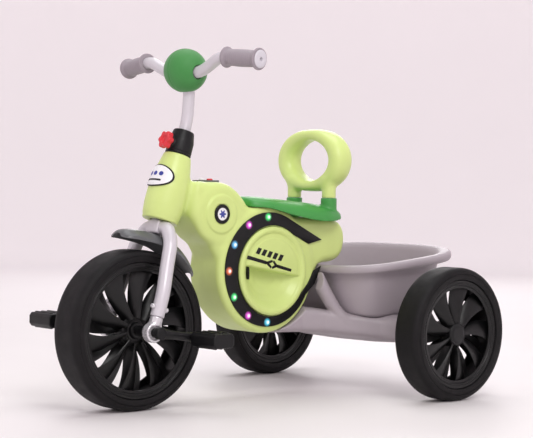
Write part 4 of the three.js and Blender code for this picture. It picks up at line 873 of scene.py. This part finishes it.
MUDGUARD_LINE = [
    (-72, 13), (-69, 16), (-62, 20), (-48, 24.5), (-22, 28.5), (0, 29.5), (18, 28.5), (38, 23.5), (56, 14.5),
    (70, 5), (79, -2.5), (82, -6),
]
MUDGUARD_PLAN = [0.35, 0.62, 0.82, 0.95, 1, 1, 1, 1, 0.96, 0.84, 0.6, 0.35]


def curve_through(stations, count):
    """Rows of numbers, eased through with more rows between them."""
    rows = np.asarray(stations, float)
    padded = np.vstack([2 * rows[0] - rows[1], rows, 2 * rows[-1] - rows[-2]])
    made = []
    for at in np.linspace(0, len(rows) - 1, count):
        i = min(int(at), len(rows) - 2)
        u = at - i
        a, b, c, d = padded[i : i + 4]
        made.append(
            0.5 * (2 * b + (c - a) * u + (2 * a - 5 * b + 4 * c - d) * u**2 + (3 * b - a - 3 * c + d) * u**3)
        )
    return np.array(made)


def build_mudguard():
    """A crowned guard with a rolled edge, open below."""
    half_width, edge_drop, wall = 30.5, 15, 2.4
    rows = curve_through([(t, s, w) for (t, s), w in zip(MUDGUARD_LINE, MUDGUARD_PLAN)], 60)
    across = np.linspace(-1, 1, 25)
    top, under = [], []
    for t, s, wide in rows:
        half = half_width * wide
        for a in across:
            drop = edge_drop * abs(a) ** 2.8 * wide
            bead = 0.5 * math.exp(-(((abs(a) - 0.94) / 0.05) ** 2))
            top.append((a * half, t, FRONT_RADIUS + s - drop + bead * 0.3))
            under.append((a * half * 0.985, t, FRONT_RADIUS + s - drop - wall - bead))
    columns = len(across)
    rim = len(rows)
    outside = grid_faces(rim, columns, close_columns=False)
    start = rim * columns
    faces = outside + [tuple(start + i for i in reversed(face)) for face in outside]
    for i in range(rim - 1):
        for k in (0, columns - 1):
            a, b = i * columns + k, (i + 1) * columns + k
            faces.append((a, b, start + b, start + a))
    for i in (0, rim - 1):
        for k in range(columns - 1):
            a = i * columns + k
            faces.append((a, a + 1, start + a + 1, start + a))
    detailed("mudguard", stood((np.array(top + under), faces)), "fork", "slate", 60)


def build_collar_and_knob():
    """The tapered collar with the boss of its clamp screw, and the screw's six-lobed knob."""
    knob_front, knob_back = -35.6, -24.4

    def collar(p):
        x, t, s = local_of(p)
        reach = np.hypot(x, t)
        radius = np.interp(s, [HEAD_TOP_S, KNOB_S + 8, COLLAR_TOP_S], [21, 20.4, 16.6])
        sleeve = rounded(1.6, reach - radius, within(s, HEAD_TOP_S + GAP, COLLAR_TOP_S))
        boss = rounded(0.8, np.hypot(x, s - KNOB_S) - 8.5, within(t, knob_back + 0.8, -12))
        whole = smooth_union(sleeve, boss, 2.5)
        band = np.abs(s - HEAD_TOP_S - 5) - 0.7
        whole = smooth_cut(whole, np.maximum(band, radius - 0.8 - reach), 0.6)
        return np.maximum(whole, STEM_RADIUS + 0.5 - reach)

    grown("stem_collar", collar, 1.1, "fork", "black", 2, 50)

    def knob(p):
        x, t, s = local_of(p)
        v = s - KNOB_S
        angle = np.arctan2(v, x)
        reach = np.hypot(x, v)
        lobes = 13.2 + 1.5 * np.cos(6 * angle)
        hand = rounded(2.4, (reach - lobes) * 0.85, within(t, knob_front, knob_back))
        dish = np.hypot(reach, t + 41) - 9.2
        hand = smooth_cut(hand, dish, 1.2)
        return np.minimum(hand, rounded(0.5, reach - 3.3, within(t, -30, -12.8)))

    grown("clamp_knob", knob, 0.9, "knob", "red", 2)


GRIP_START = (99.4, BAR_T - 6, BAR_S + 19.7)
GRIP_END = (166.7, BAR_T + 6, BAR_S + 17.8)
STEM_CORNERS = [
    (0, 0, HEAD_BOTTOM_S + 25), (0, 0, COLLAR_TOP_S + 20), (0, -7, COLLAR_TOP_S + 48),
    (0, -10.5, COLLAR_TOP_S + 62), (0, BAR_T + 4.5, BAR_S - BAR_RADIUS - 3.5),
]


def along_grip(part):
    """From about X to the line of the left grip, in steering coordinates."""
    start, end = Vector(GRIP_START), Vector(GRIP_END)
    turn = Vector((1, 0, 0)).rotation_difference(end - start).to_matrix()
    return part[0] @ np.array(turn).T + np.array(GRIP_START), part[1]


def build_handlebar():
    """The bent stem and bar, the ribbed grips with their caps, and the foam ball over the joint."""
    detailed("handlebar_stem", stood(tube(STEM_CORNERS, STEM_RADIUS, 16, 40)), "handlebar", "silver")
    start, end = np.array(GRIP_START), np.array(GRIP_END)
    length = float(np.linalg.norm(end - start))
    along = (end - start) / length
    half = [
        (36, BAR_T, BAR_S), (60, BAR_T - 2.5, BAR_S + 8.5), tuple(start - along * 14),
        tuple(start + along * (length - 8)),
    ]
    corners = [(-x, t, s) for x, t, s in reversed(half)] + half
    detailed("handlebar_bar", stood(tube(corners, BAR_RADIUS, 14, 36)), "handlebar", "silver")
    sleeve = [(9.7, 0), (15.4, 0), (16.2, 0.6), (16.5, 2), (16.1, 3.6), (14.6, 4.8), (13.2, 6)]
    for i in range(13):
        at = 9 + i * (length - 21) / 12
        swell = 12.5 + 0.6 * math.sin(math.pi * i / 12)
        sleeve += [(swell, at - 1.4), (swell + 0.45, at - 0.5), (swell + 0.45, at + 0.9), (swell, at + 1.8)]
    sleeve += [
        (13.2, length - 8), (15.6, length - 5.6), (17, length - 3.6), (17.1, length - 1.4),
        (16.5, length - 0.3), (15.8, length), (9.7, length),
    ]
    cap = [
        (0, length - 2), (2.6, length - 2), (3, length + 2.6), (3.6, length + 3), (8, length + 3),
        (11.8, length + 2.7), (13.2, length + 2), (14, length + 1.2), (14, length + 0.4), (9, length + 0.4),
        (9, length - 5), (0, length - 5),
    ]
    for side, name in SIDES:
        grip = stood(sided(along_grip(lathe(sleeve, 64, ring=True)), side))
        detailed(f"grip_{name}", grip, "handlebar", "grip")
        plug = stood(sided(along_grip(lathe(cap, 48)), side))
        detailed(f"grip_cap_{name}", plug, "handlebar", "pale")

    ball_radius, seam_depth = 35.2, 0.9

    def ball(p):
        x, t, s = local_of(p)
        reach = np.sqrt(x**2 + (t - BAR_T + 1) ** 2 + (s - BAR_S - 4) ** 2)
        whole = reach - ball_radius
        seam = np.maximum(np.abs(x) - 0.55, ball_radius - seam_depth - reach)
        whole = smooth_cut(whole, seam, 0.8)
        rise = np.interp(np.abs(x), [30, 60], [0, 7])
        bar = np.hypot(t - BAR_T, s - BAR_S - rise) - BAR_RADIUS - 1.6
        line = -10.5 - np.clip(s - COLLAR_TOP_S - 62, 0, 40) * 0.95
        stem = np.maximum(np.hypot(x, (t - line) * 0.8) - STEM_RADIUS - 0.4, s - BAR_S)
        whole = smooth_cut(whole, np.maximum(bar, 22 - np.abs(x)), 1.2)
        return smooth_cut(whole, np.maximum(stem, s - BAR_S + 18), 1.2)

    grown("ball_cover", ball, 1.3, "handlebar", "foam", 2, 50)


# ---- Body -------------------------------------------------------------------------------------------
HEAD_PROFILE = [(0, 29), (4, 30.4), (22, 32.2), (50, 32.2), (72, 29.2), (92, 25), (105, 22)]
HEAD_SKIRT = 4.6
UPPER_RADIUS = 50
BOSS_RADIUS = 31.5
COVER_DEPTH = 27


def neck_point(t, up):
    """A point of the neck, given along the head, as the body's outline wants it."""
    _, y, z = world_of((0, t, HEAD_BOTTOM_S + up))
    return y - DRUM_Y, z - DRUM_Z


BODY_OUTLINE = [
    neck_point(31.1, 20.7), neck_point(22.6, 65.3), neck_point(32.4, 73.8), (-120, 142.5), (-100, 141),
    (-78, 137), (-52, 121), (-36, 99), (30, 88), (90, 85), (160, 82), (176, 70), (182, 50), (177, 24),
    (160, 9), (120, 7), (112, -8), (98, -36), (0, -60), (-80, -20), (-128, 60), neck_point(43.8, 8),
]


def head_radius(s):
    return np.interp(s - HEAD_BOTTOM_S, *zip(*HEAD_PROFILE))


BODY_EDGE = eased_outline(BODY_OUTLINE, 2) + np.array([DRUM_Y, DRUM_Z])


def body_field(p):
    """Both body shells as one: a slab by the side outline, the drum, the upper bulge and the head, with
    recesses for the covers and badges."""
    x, t, s = local_of(p)
    flat = outline_distance(p[:, 1], p[:, 2], BODY_EDGE)
    forward = np.clip((DRUM_Y - 62 - p[:, 1]) / 60, 0, 1)
    half = FACE_X - 1.2 - 3.5 * forward
    slab = rounded(14, flat, np.abs(x) - half)
    drum = disc(p, DRUM_Y, DRUM_Z, DRUM_RADIUS, -FACE_X, FACE_X, 10.5)
    upper = disc(p, UPPER_Y, UPPER_Z, UPPER_RADIUS, -FACE_X + 2.6, FACE_X - 2.6, 11)
    boss = disc(p, UPPER_Y, UPPER_Z, BOSS_RADIUS, -FACE_X - 1.2, FACE_X + 1.2, 2.2)
    head = rounded(2.2, np.hypot(x, t) - head_radius(s), within(s, HEAD_BOTTOM_S - HEAD_SKIRT, HEAD_TOP_S))
    whole = smooth_union(slab, upper, 6)
    whole = smooth_union(whole, head, 11)
    whole = smooth_union(whole, drum, 5)
    whole = smooth_union(whole, boss, 2.0)
    seat = np.hypot(p[:, 1] - UPPER_Y, p[:, 2] - UPPER_Z) - BADGE_RADIUS - 1
    whole = smooth_cut(whole, np.maximum(seat, FACE_X - 0.9 - np.abs(x)), 0.6)
    hole = np.hypot(p[:, 1] - COVER_Y, p[:, 2] - COVER_Z) - COVER_RADIUS - 0.6
    whole = smooth_cut(whole, np.maximum(hole, FACE_X - COVER_DEPTH - np.abs(x)), 0.8)
    bore = np.maximum(np.hypot(x, t) - STEM_RADIUS - 5.4, s - HEAD_BOTTOM_S - 12)
    return np.maximum(whole, -bore)


def halved(part, side):
    """The part of a solid on one side of the middle, closed with a flat face."""
    mesh = bpy.data.meshes.new("half")
    mesh.from_pydata(np.asarray(part[0], float).tolist(), [], [tuple(f) for f in part[1]])
    work = bmesh.new()
    work.from_mesh(mesh)
    bmesh.ops.bisect_plane(
        work, geom=work.verts[:] + work.edges[:] + work.faces[:], plane_co=(0.1 * side, 0, 0),
        plane_no=(side, 0, 0), clear_inner=True,
    )
    bmesh.ops.holes_fill(work, edges=[e for e in work.edges if e.is_boundary], sides=0)
    work.verts.index_update()
    points = np.array([tuple(v.co) for v in work.verts])
    faces = [tuple(v.index for v in f.verts) for f in work.faces]
    work.free()
    bpy.data.meshes.remove(mesh)
    return points, faces


def build_body():
    low, high = span("body_shell_left")
    low, high = low - 4, high + 4
    low[0] = -high[0]
    whole = surface(body_field, low, high, 1.9)
    for side, name in SIDES:
        piece(f"body_{name}_detailed", halved(whole, side), "frame", "lime", f"body_shell_{name}", sharp=50)
        build_side_cover(side, name)
        build_ring(side, name)
        build_round_badge(side, name)


def build_side_cover(side, name):
    """The round cover: a thick rim, a raised upper plate, and a deep scoop below its ledge."""
    base = FACE_X + GAP
    outer = [
        (0, base - 24), (26, base - 22), (48, base - 14), (65, base - 1), (73, base), (73.4, base + 2.5),
        (72.4, base + 5), (69.6, base + 6.6), (66.5, base + 6.6), (63.4, base + 5.2), (62, base + 3.6),
        (60.6, base + 3.2), (0, base + 3.2),
    ]
    scoop = [
        (0, base - 20.4), (14, base - 19.8), (27, base - 17.6), (40, base - 12.4), (51, base - 5.6),
        (58.6, base + 1.2), (61.8, base + 6), (62, base + 14), (0, base + 14),
    ]
    tilt = math.radians(10.3)

    def both_ways(profile):
        return [(-r, v) for r, v in reversed(profile)] + profile

    def field(p):
        x = p[:, 0] * side
        y, z = p[:, 1] - COVER_Y, p[:, 2] - COVER_Z
        reach = np.hypot(y, z)
        whole = outline_distance(reach, x, both_ways(outer))
        level = z + 1 + y * math.tan(tilt)
        ledge = level * math.cos(tilt) - np.clip(x - base + 6, 0, 12) * 0.12
        bowl = outline_distance(reach, x, both_ways(scoop))
        whole = smooth_cut(whole, np.maximum(bowl, ledge), 2.4)
        raised = rounded(0.8, np.maximum(reach - 54, 2.6 - level), within(x, base, base + 4.2))
        return smooth_union(whole, raised, 0.8)

    grown(f"side_cover_{name}", field, 1.15, "frame", "lime")
    build_cover_stripe(side, name, base + 4.1)
    # A black plate fills the slot at the left edge of the pocket: painted shade, standing in for the dark
    # inside of the opening.
    slot = [(-52.6, 8), (-50.6, 7.6), (-50.2, -14), (-53.6, -8)]
    slot = eased_outline([(COVER_Y + y, COVER_Z + z) for y, z in slot], 1)
    piece(f"cover_slot_shade_{name}", sided(plate(slot, base - 12, base + 2.2), side), "frame", "black")


def build_cover_stripe(side, name, x):
    """A raised dark stripe with a small open diamond, and five slanted bars above it."""
    slope = math.radians(-14.1534)
    along = np.array([math.cos(slope), math.sin(slope)])
    up = np.array([-along[1], along[0]])
    start = np.array([COVER_Y - 58.5, COVER_Z + 24.5])

    def place(points):
        return [tuple(start + along * u + up * v) for u, v in points]

    shapes = [
        place([(-4, -3), (43, -2.7), (48, 0.1), (43, 3), (-4, 3)]),
        place([(64, 0.2), (69, -2.6), (101, -2.4), (101, 2.4), (69, 2.8)]),
        place([(40.5, 0.4), (55.5, -7), (57.2, -3.6), (50.6, 0.4), (57.2, 4.4), (55.5, 7.8)]),
        place([(57.2, -3.6), (58.9, -7), (71.5, 0.2), (58.9, 7.8), (57.2, 4.4), (62.4, 0.3)]),
    ]
    for i in range(5):
        u = 17 + 12.5 * i
        shapes.append(place([(u, 10), (u + 8, 9.8), (u + 11.6, 20.4), (u + 3.6, 20.6)]))
    parts = [plate(shape, x - 0.4, x + 0.5, 0.2, 1) for shape in shapes]
    piece(f"cover_stripe_{name}", sided(joined(parts), side), "frame", "black")


LED_COLOURS = [
    (0.05, 1.0, 0.22), (1.0, 0.06, 0.85), (0.10, 0.55, 1.0), (1.0, 0.18, 0.04), (0.05, 1.0, 0.25),
    (0.95, 0.07, 0.80), (0.08, 0.70, 0.95),
]


def led_places():
    """The seven lamps' centres on the ring, from its top round the front to its foot."""
    reach = RING_RADIUS - 7.5
    angles = [math.radians(92.5 + 29.2 * i) for i in range(7)]
    return [(DRUM_Y + reach * math.cos(a), DRUM_Z + reach * math.sin(a)) for a in angles]


def build_ring(side, name):
    """The black open ring with its two swept tips, and the seven lamps with their glow."""
    outer = arc((DRUM_Y, DRUM_Z), RING_RADIUS, 62, 332, 90)
    inner = arc((COVER_Y, COVER_Z), COVER_RADIUS + 2, 318, 52, 80)
    tip_y = DRUM_Y + DRUM_RADIUS + 13

    def on_ring(y, z):
        return DRUM_Y + y * RING_RADIUS, DRUM_Z + z * RING_RADIUS

    lower = [
        on_ring(1.096, -0.287), (tip_y, DRUM_Z + 0.032 * RING_RADIUS), on_ring(1.074, -0.048),
        on_ring(0.936, -0.277),
    ]
    upper = [on_ring(0.9415, 0.4309), (tip_y, DRUM_Z + 0.5053 * RING_RADIUS)]
    x0 = FACE_X + GAP
    ring = plate(outer + lower + inner + upper, x0, x0 + 2.4, 0.7, 3)
    detailed(f"led_ring_{name}", sided(ring, side), "frame", "black", 50)
    build_lamps(side, name, x0 + 2.4)


def build_lamps(side, name, x, segments=40):
    """Seven domes, each with a flat disc of glow round it, as (radius, height, power, tint) rings."""
    profile = [
        (0, 2.3, 1.6, 0.1), (1.6, 2.2, 1.4, 0.25), (2.8, 1.9, 1.1, 0.6), (3.8, 1.3, 0.9, 0.95),
        (4.5, 0.4, 0.75, 1.0), (4.7, 0.12, 0.6, 1.0), (5.4, 0.1, 0.42, 1.0), (6.2, 0.08, 0.26, 1.0),
        (6.9, 0.06, 0.12, 1.0), (7.4, 0.02, 0.05, 1.0), (7.4, -0.8, 0.0, 1.0), (0, -0.8, 0.0, 1.0),
    ]
    dome = lathe([(r, rise) for r, rise, _, _ in profile], segments)
    part = sided(joined([moved(dome, (x, y, z)) for y, z in led_places()]), side)
    colours = []
    for colour in LED_COLOURS:
        for _, _, power, tint in profile:
            shade = [power * ((1 - tint) + tint * c) for c in colour]
            colours.extend([(*shade, 1)] * segments)
    mesh = bpy.data.meshes.new(f"led_lamps_{name}")
    mesh.from_pydata((part[0] * MM).tolist(), [], part[1])
    paint = mesh.color_attributes.new("glow", "FLOAT_COLOR", "POINT")
    paint.data.foreach_set("color", np.array(colours, np.float32).ravel())
    mesh.polygons.foreach_set("use_smooth", [True] * len(mesh.polygons))
    lamps = bpy.data.objects.new(f"led_lamps_{name}", mesh)
    bpy.context.collection.objects.link(lamps)
    settle(lamps, "frame", "glow", f"led_lenses_{name}")


def petal_outline(centre, reach, petals=6, depth=0.24):
    """A flower-like outline with evenly spaced round petals."""
    made = []
    for i in range(petals * 12):
        angle = 2 * math.pi * i / (petals * 12)
        r = reach * (1 - depth + depth * math.cos(petals * angle))
        made.append((centre[0] + r * math.cos(angle), centre[1] + r * math.sin(angle)))
    return made


def build_round_badge(side, name):
    """A plain roundel: dark ring, pale middle and a small six-petalled flower."""
    x = FACE_X - 0.6
    rim = [
        (10.2, x), (10.2, x + 2.3), (10.8, x + 2.8), (13.8, x + 3), (14.8, x + 2.7), (15.4, x + 2), (15.4, x)
    ]
    dark = moved(lathe(rim, 72, ring=True), (0, UPPER_Y, UPPER_Z))
    piece(f"round_badge_{name}_rim", sided(dark, side), "frame", "black", f"round_badge_{name}")
    middle = [(0, x + 2.4), (6, x + 2.35), (10.1, x + 2.0), (10.1, x + 0.2), (0, x + 0.2)]
    pale = moved(lathe(middle, 64), (0, UPPER_Y, UPPER_Z))
    piece(f"round_badge_{name}_middle", sided(pale, side), "frame", "white")
    flower = plate(petal_outline((UPPER_Y, UPPER_Z), 7), x + 1.9, x + 2.7, 0.2, 1)
    piece(f"round_badge_{name}_flower", sided(flower, side), "frame", "ink")


def build_head_badge():
    """An oval plate wrapped round the head, with a dark edge, three round dots and a bar."""
    middle = HEAD_BOTTOM_S + 62
    wrap = math.radians(62)

    def wrapped(u, v, lift):
        s = middle + 19 * v
        reach = float(head_radius(s)) + lift
        return reach * math.sin(wrap * u), -reach * math.cos(wrap * u), s

    def oval(rings, segments=96, centre=(0, 0), wide=1, tall=1):
        points = [wrapped(*centre, rings[0][1])] * segments
        for share, lift in rings[1:]:
            for k in range(segments):
                a = 2 * math.pi * k / segments
                u, v = centre[0] + wide * share * math.cos(a), centre[1] + tall * share * math.sin(a)
                points.append(wrapped(u, v, lift))
        return np.array(points), grid_faces(len(rings), segments)

    edge = [
        (0, 0.6), (0.4, 0.6), (0.9, 0.6), (1, 0.9), (1, 1.5), (0.97, 1.9), (0.9, 1.9), (0.4, 1.9), (0, 1.9)
    ]
    piece("head_badge_edge", stood(oval(edge)), "frame", "black", "head_badge")
    face = [(0, 1.2), (0.4, 1.2), (0.88, 1.2), (0.9, 2.2), (0.86, 2.5), (0.6, 2.5), (0.3, 2.5), (0, 2.5)]
    piece("head_badge_face", stood(oval(face)), "frame", "white")
    dot = [(0, 2.3), (1, 2.3), (1, 2.8), (0.8, 3), (0, 3)]
    dots = [oval(dot, 32, (u, 0.16), 0.11, 0.19) for u in (-0.34, 0, 0.34)]
    piece("head_badge_dots", stood(joined(dots)), "frame", "ink")
    low, high = -0.495, -0.345
    strip = []
    for u in np.linspace(-0.42, 0.42, 13):
        strip += [wrapped(u, low, 2.4), wrapped(u, high, 2.4), wrapped(u, high, 2.8), wrapped(u, low, 2.8)]
    count = len(strip)
    faces = grid_faces(count // 4, 4) + [(0, 1, 2, 3), tuple(count - i for i in (1, 2, 3, 4))]
    piece("head_badge_bar", stood((strip, faces)), "frame", "black")


# ---- Seat, backrest, bin and chassis ----------------------------------------------------------------
# Distance behind the drum's centre, half width, and the heights of the middle and of the edge.
SEAT_STATIONS = [
    (-38, 9, 0, -9), (-34, 22, 1, -12), (-26, 36, 2, -14), (0, 48, 1.8, -17), (45, 54, -2.2, -28),
    (86, 63, -6, -36), (116, 67, -9, -38.5), (144, 60, -13, -36), (160, 44, -18, -32.5),
    (168, 26, -22, -30.5), (171, 10, -24, -29.5),
]


def build_seat():
    """A shell by stations along the body, dished before the backrest, with two sockets for its posts."""
    wall = 5
    rows = curve_through(SEAT_STATIONS, 90)
    rows = rows[np.argsort(rows[:, 0])]

    def field(p):
        y = p[:, 1] - DRUM_Y
        half = np.interp(y, rows[:, 0], rows[:, 1])
        top = np.interp(y, rows[:, 0], rows[:, 2]) + SEAT_Z
        edge = np.interp(y, rows[:, 0], rows[:, 3]) + SEAT_Z
        beyond = within(y, rows[0, 0], rows[-1, 0])
        rise = p[:, 2] - edge
        tall = np.where(rise > 0, top - edge, 3.0)
        norm = (np.abs(p[:, 0] / half) ** 2.5 + np.abs(rise / tall) ** 2.5) ** 0.4
        near = np.minimum(half, np.maximum(tall, 8)) * 0.8
        whole = np.maximum((norm - 1) * near, beyond)
        dish = np.maximum((top - 3.2) - p[:, 2], np.hypot(p[:, 0] / 1.3, (y - 133)) - 13)
        whole = smooth_cut(whole, dish, 3)
        tall_inside = np.maximum(top - edge - wall, 1)
        under = (np.abs(p[:, 0] / (half - wall)) ** 2.5 + np.abs(rise / tall_inside) ** 2.5) ** 0.4
        hollow = np.maximum((under - 1) * near, beyond + wall)
        whole = smooth_cut(whole, np.maximum(hollow, p[:, 2] - top + wall), 1.5)
        for x in (POST_X, -POST_X):
            socket = column(p, x, POST_Y, 13.5, SEAT_Z - 32, SEAT_Z, 1.3)
            whole = smooth_union(whole, socket, 2.5)
        return whole

    grown("seat", field, 1.8, "frame", "green")


def build_backrest():
    """The ring and its two posts, moulded in one with soft fillets."""
    wide = 62.8

    def field(p):
        y = p[:, 1] - POST_Y - 6
        x, z = p[:, 0], p[:, 2] - RING_Z
        angle = np.arctan2(z / RING_TALL, x / wide)
        for _ in range(2):
            ex, ez = wide * np.cos(angle), RING_TALL * np.sin(angle)
            tx, tz = -wide * np.sin(angle), RING_TALL * np.cos(angle)
            angle = angle + ((x - ex) * tx + (z - ez) * tz) / (tx * tx + tz * tz)
        away = np.hypot(x - wide * np.cos(angle), z - RING_TALL * np.sin(angle))
        sideways = np.abs(np.cos(angle))
        thick = RING_THICK + 7.5 * sideways**1.4
        deep = 19 + 1.5 * sideways
        norm = ((away / thick) ** 2.3 + (np.abs(y) / deep) ** 2.3) ** (1 / 2.3)
        ring = (norm - 1) * thick
        for side in (1, -1):
            post = column(p, side * POST_X, POST_Y, 11.8, SEAT_Z + GAP, RING_Z - 30, 1)
            ring = smooth_union(ring, post, 7)
        return ring

    grown("backrest", field, 1.9, "frame", "lime", bottom=SEAT_Z)


BIN_PROFILE = [
    (0, 0), (0.3, 0), (0.56, 0), (0.61, 0.004), (0.65, 0.02), (0.69, 0.05), (0.72, 0.09), (0.745, 0.14),
    (0.785, 0.3), (0.83, 0.5), (0.862, 0.7), (0.886, 0.84), (0.902, 0.856), (0.93, 0.862), (0.97, 0.862),
    (0.987, 0.87), (0.997, 0.892), (1, 0.925), (0.998, 0.962), (0.988, 0.985), (0.97, 0.997), (0.945, 1),
    (0.92, 0.997), (0.9, 0.986), (0.885, 0.968), (0.873, 0.93), (0.85, 0.8), (0.825, 0.65), (0.8, 0.5),
    (0.765, 0.32), (0.735, 0.2), (0.712, 0.13), (0.69, 0.09), (0.66, 0.06), (0.62, 0.04), (0.57, 0.031),
    (0.3, 0.03), (0, 0.03),
]


def bin_exponent(share):
    """How square the bin is at a share of its rim's size."""
    return 2.6 + 1.1 * share


def bin_egg_and_slope(y, share):
    """How much the bin widens towards the back, and how far its rim rises there."""
    along = y / BIN_HALF_LENGTH
    return 1 + 0.12 * along * share - 0.045 * share, 0.13 * y + 6 * np.maximum(0, along) ** 3


def bin_points(share, rise, angle):
    """A point of the bin from its share of the rim's size, its share of the height, and its direction."""
    exponent = bin_exponent(share)
    c, s = np.cos(angle), np.sin(angle)
    x = BIN_HALF_WIDTH * share * np.sign(c) * np.abs(c) ** (2 / exponent)
    y = BIN_HALF_LENGTH * share * np.sign(s) * np.abs(s) ** (2 / exponent)
    egg, slope = bin_egg_and_slope(y, share)
    z = BIN_FLOOR_Z + BIN_DEPTH * rise + slope * np.maximum(0, rise - 0.03)
    x = np.minimum(np.abs(x * egg), BIN_HALF_WIDTH + 2) * np.sign(x)
    return np.stack([x, BIN_Y + y, z], -1)


def build_bin():
    """The tub, turned from its profile round a rounded oblong, with a rolled rim."""
    segments = 200
    angles = np.arange(segments) / segments * 2 * math.pi
    rows = []
    for (a, b), (c, d) in zip(BIN_PROFILE, BIN_PROFILE[1:]):
        steps = max(1, int(max(abs(c - a) * 100, abs(d - b) * 60) / 6))
        rows += [(a + (c - a) * i / steps, b + (d - b) * i / steps) for i in range(steps)]
    rows.append(BIN_PROFILE[-1])
    points = [bin_points(np.full(segments, max(share, 1e-5)), rise, angles) for share, rise in rows]
    detailed("rear_bin", (np.concatenate(points), grid_faces(len(rows), segments)), "frame", "bin", 50)


def superellipse_distance(a, b, half_a, half_b, exponent):
    """Roughly the distance to a rounded oblong."""
    norm = (np.abs(a / half_a) ** exponent + np.abs(b / half_b) ** exponent) ** (1 / exponent)
    return (norm - 1) * np.minimum(half_a, half_b)


def build_chassis():
    """The hollow cross arm on the rear axle, the keel that runs forward to the drum, and two struts, cut
    where the drum, the body and the bin sit in it."""
    arm_end = span("rear_frame")[1][0]
    arm_shares = [0, 0.42, 0.8, 1]
    beam = np.array([
        (30, 34, 106, 150), (75, 44, 105, 150), (110, 62, 103, 146), (145, 88, 98, 140), (185, 118, 92, 134),
        (REAR_Y + 4 - DRUM_Y, 138, 90, 130),
    ])
    strut = np.array([(122, 72, 150), (150, 60, 128), (180, 52, 112), (206, 46, 100)])
    lean = 1.05
    bin_rows = np.array([(rise, share) for share, rise in BIN_PROFILE[2:12]])

    def field(p):
        x, y, z = np.abs(p[:, 0]), p[:, 1], p[:, 2]
        reach = x / arm_end
        size = np.interp(reach, arm_shares, [1.35, 1.3, 1, 0.72])
        rear = np.interp(reach, arm_shares, [-20, -16, -4, 0])
        tall = 22 * np.interp(reach, arm_shares, [1.14, 1.1, 0.94, 0.72])
        arm = superellipse_distance(y - REAR_Y - rear, z - REAR_RADIUS - 1, 25.3 * size, tall, 3)
        arm = smooth_cut(arm, arm_end - 1 - x, 1.5)
        arm = np.maximum(arm, x - arm_end + 0.3)
        along = y - DRUM_Y
        half = np.interp(along, beam[:, 0], beam[:, 1])
        low = np.interp(along, beam[:, 0], beam[:, 2])
        high = np.interp(along, beam[:, 0], beam[:, 3])
        keel = superellipse_distance(x, z - (low + high) / 2, half, (high - low) / 2, 4.5)
        keel = np.maximum(keel, within(along, beam[0, 0], beam[-1, 0]))
        whole = smooth_union(arm, keel, 12)
        sx = np.interp(z, strut[:, 0], strut[:, 1])
        sy = np.interp(z, strut[:, 0], strut[:, 2]) + DRUM_Y
        leg = np.maximum(np.hypot(x - sx, (y - sy) * lean) - 13.8, within(z, strut[0, 0], strut[-1, 0]))
        groove = np.hypot(x - sx - 13.5, (y - sy + 14) * lean) - 3.2
        groove = np.maximum(groove, strut[0, 0] + 6 - z)
        whole = smooth_union(whole, leg, 4)
        whole = smooth_cut(whole, groove, 2.5)
        hub = disc(p, REAR_Y, REAR_RADIUS, 14, -arm_end - 0.4, arm_end + 0.4, 1)
        whole = np.minimum(whole, hub)
        drum = np.hypot(y - DRUM_Y, z - DRUM_Z) - DRUM_RADIUS - 1.6
        whole = smooth_cut(whole, np.maximum(drum, x - 90), 1.2)
        block = np.maximum(x - FACE_X - 6, within(y, DRUM_Y, DRUM_Y + 130))
        whole = smooth_cut(whole, np.maximum(block, within(z, 150, 330)), 1.2)
        y = y - BIN_Y
        _, slope = bin_egg_and_slope(y, 0)
        rise = (z - BIN_FLOOR_Z + 1.4) / (BIN_DEPTH + slope)
        share = np.interp(rise, bin_rows[:, 0], bin_rows[:, 1]) + 0.012
        egg, _ = bin_egg_and_slope(y, share)
        exponent = bin_exponent(share)
        wide, long = np.abs(x / egg / BIN_HALF_WIDTH), np.abs(y / BIN_HALF_LENGTH)
        norm = (wide**exponent + long**exponent) ** (1 / exponent)
        nest = np.maximum((norm - share) * BIN_HALF_LENGTH, -rise * BIN_DEPTH)
        return smooth_cut(whole, nest, 1.2)

    grown("rear_frame", field, 2.4, "frame", "bin")


# ---- CAD nodes that stay ----------------------------------------------------------------------------
KEPT = {
    "head_tube": "steel", "lower_cup": "black", "frame_tube": "steel", "music_panel": "slate",
    "battery_box": "black", "speaker": "black", "seat_bolt_front": "steel", "seat_bolt_rear": "steel",
    "rear_axle": "steel", "axle_nut_left": "steel", "axle_nut_right": "steel", "mudguard_bolt": "steel",
    "music_button_left": "red", "music_button_right": "white",
}


def finish_kept():
    """Finishes the CAD nodes that are shown as they are."""
    for name, material in KEPT.items():
        kept = nodes[name]
        kept.data.materials.clear()
        kept.data.materials.append(MATERIALS[material])
        kept.data.polygons.foreach_set("use_smooth", [True] * len(kept.data.polygons))
        kept.data.set_sharp_from_angle(angle=math.radians(32))


add_camera()
light_scene()
add_stage()
build_front_wheel()
for each_side, each_name in SIDES:
    build_rear_wheel(each_side, each_name)
build_fork()
build_mudguard()
build_collar_and_knob()
build_handlebar()
build_body()
build_head_badge()
build_seat()
build_backrest()
build_bin()
build_chassis()
finish_kept()
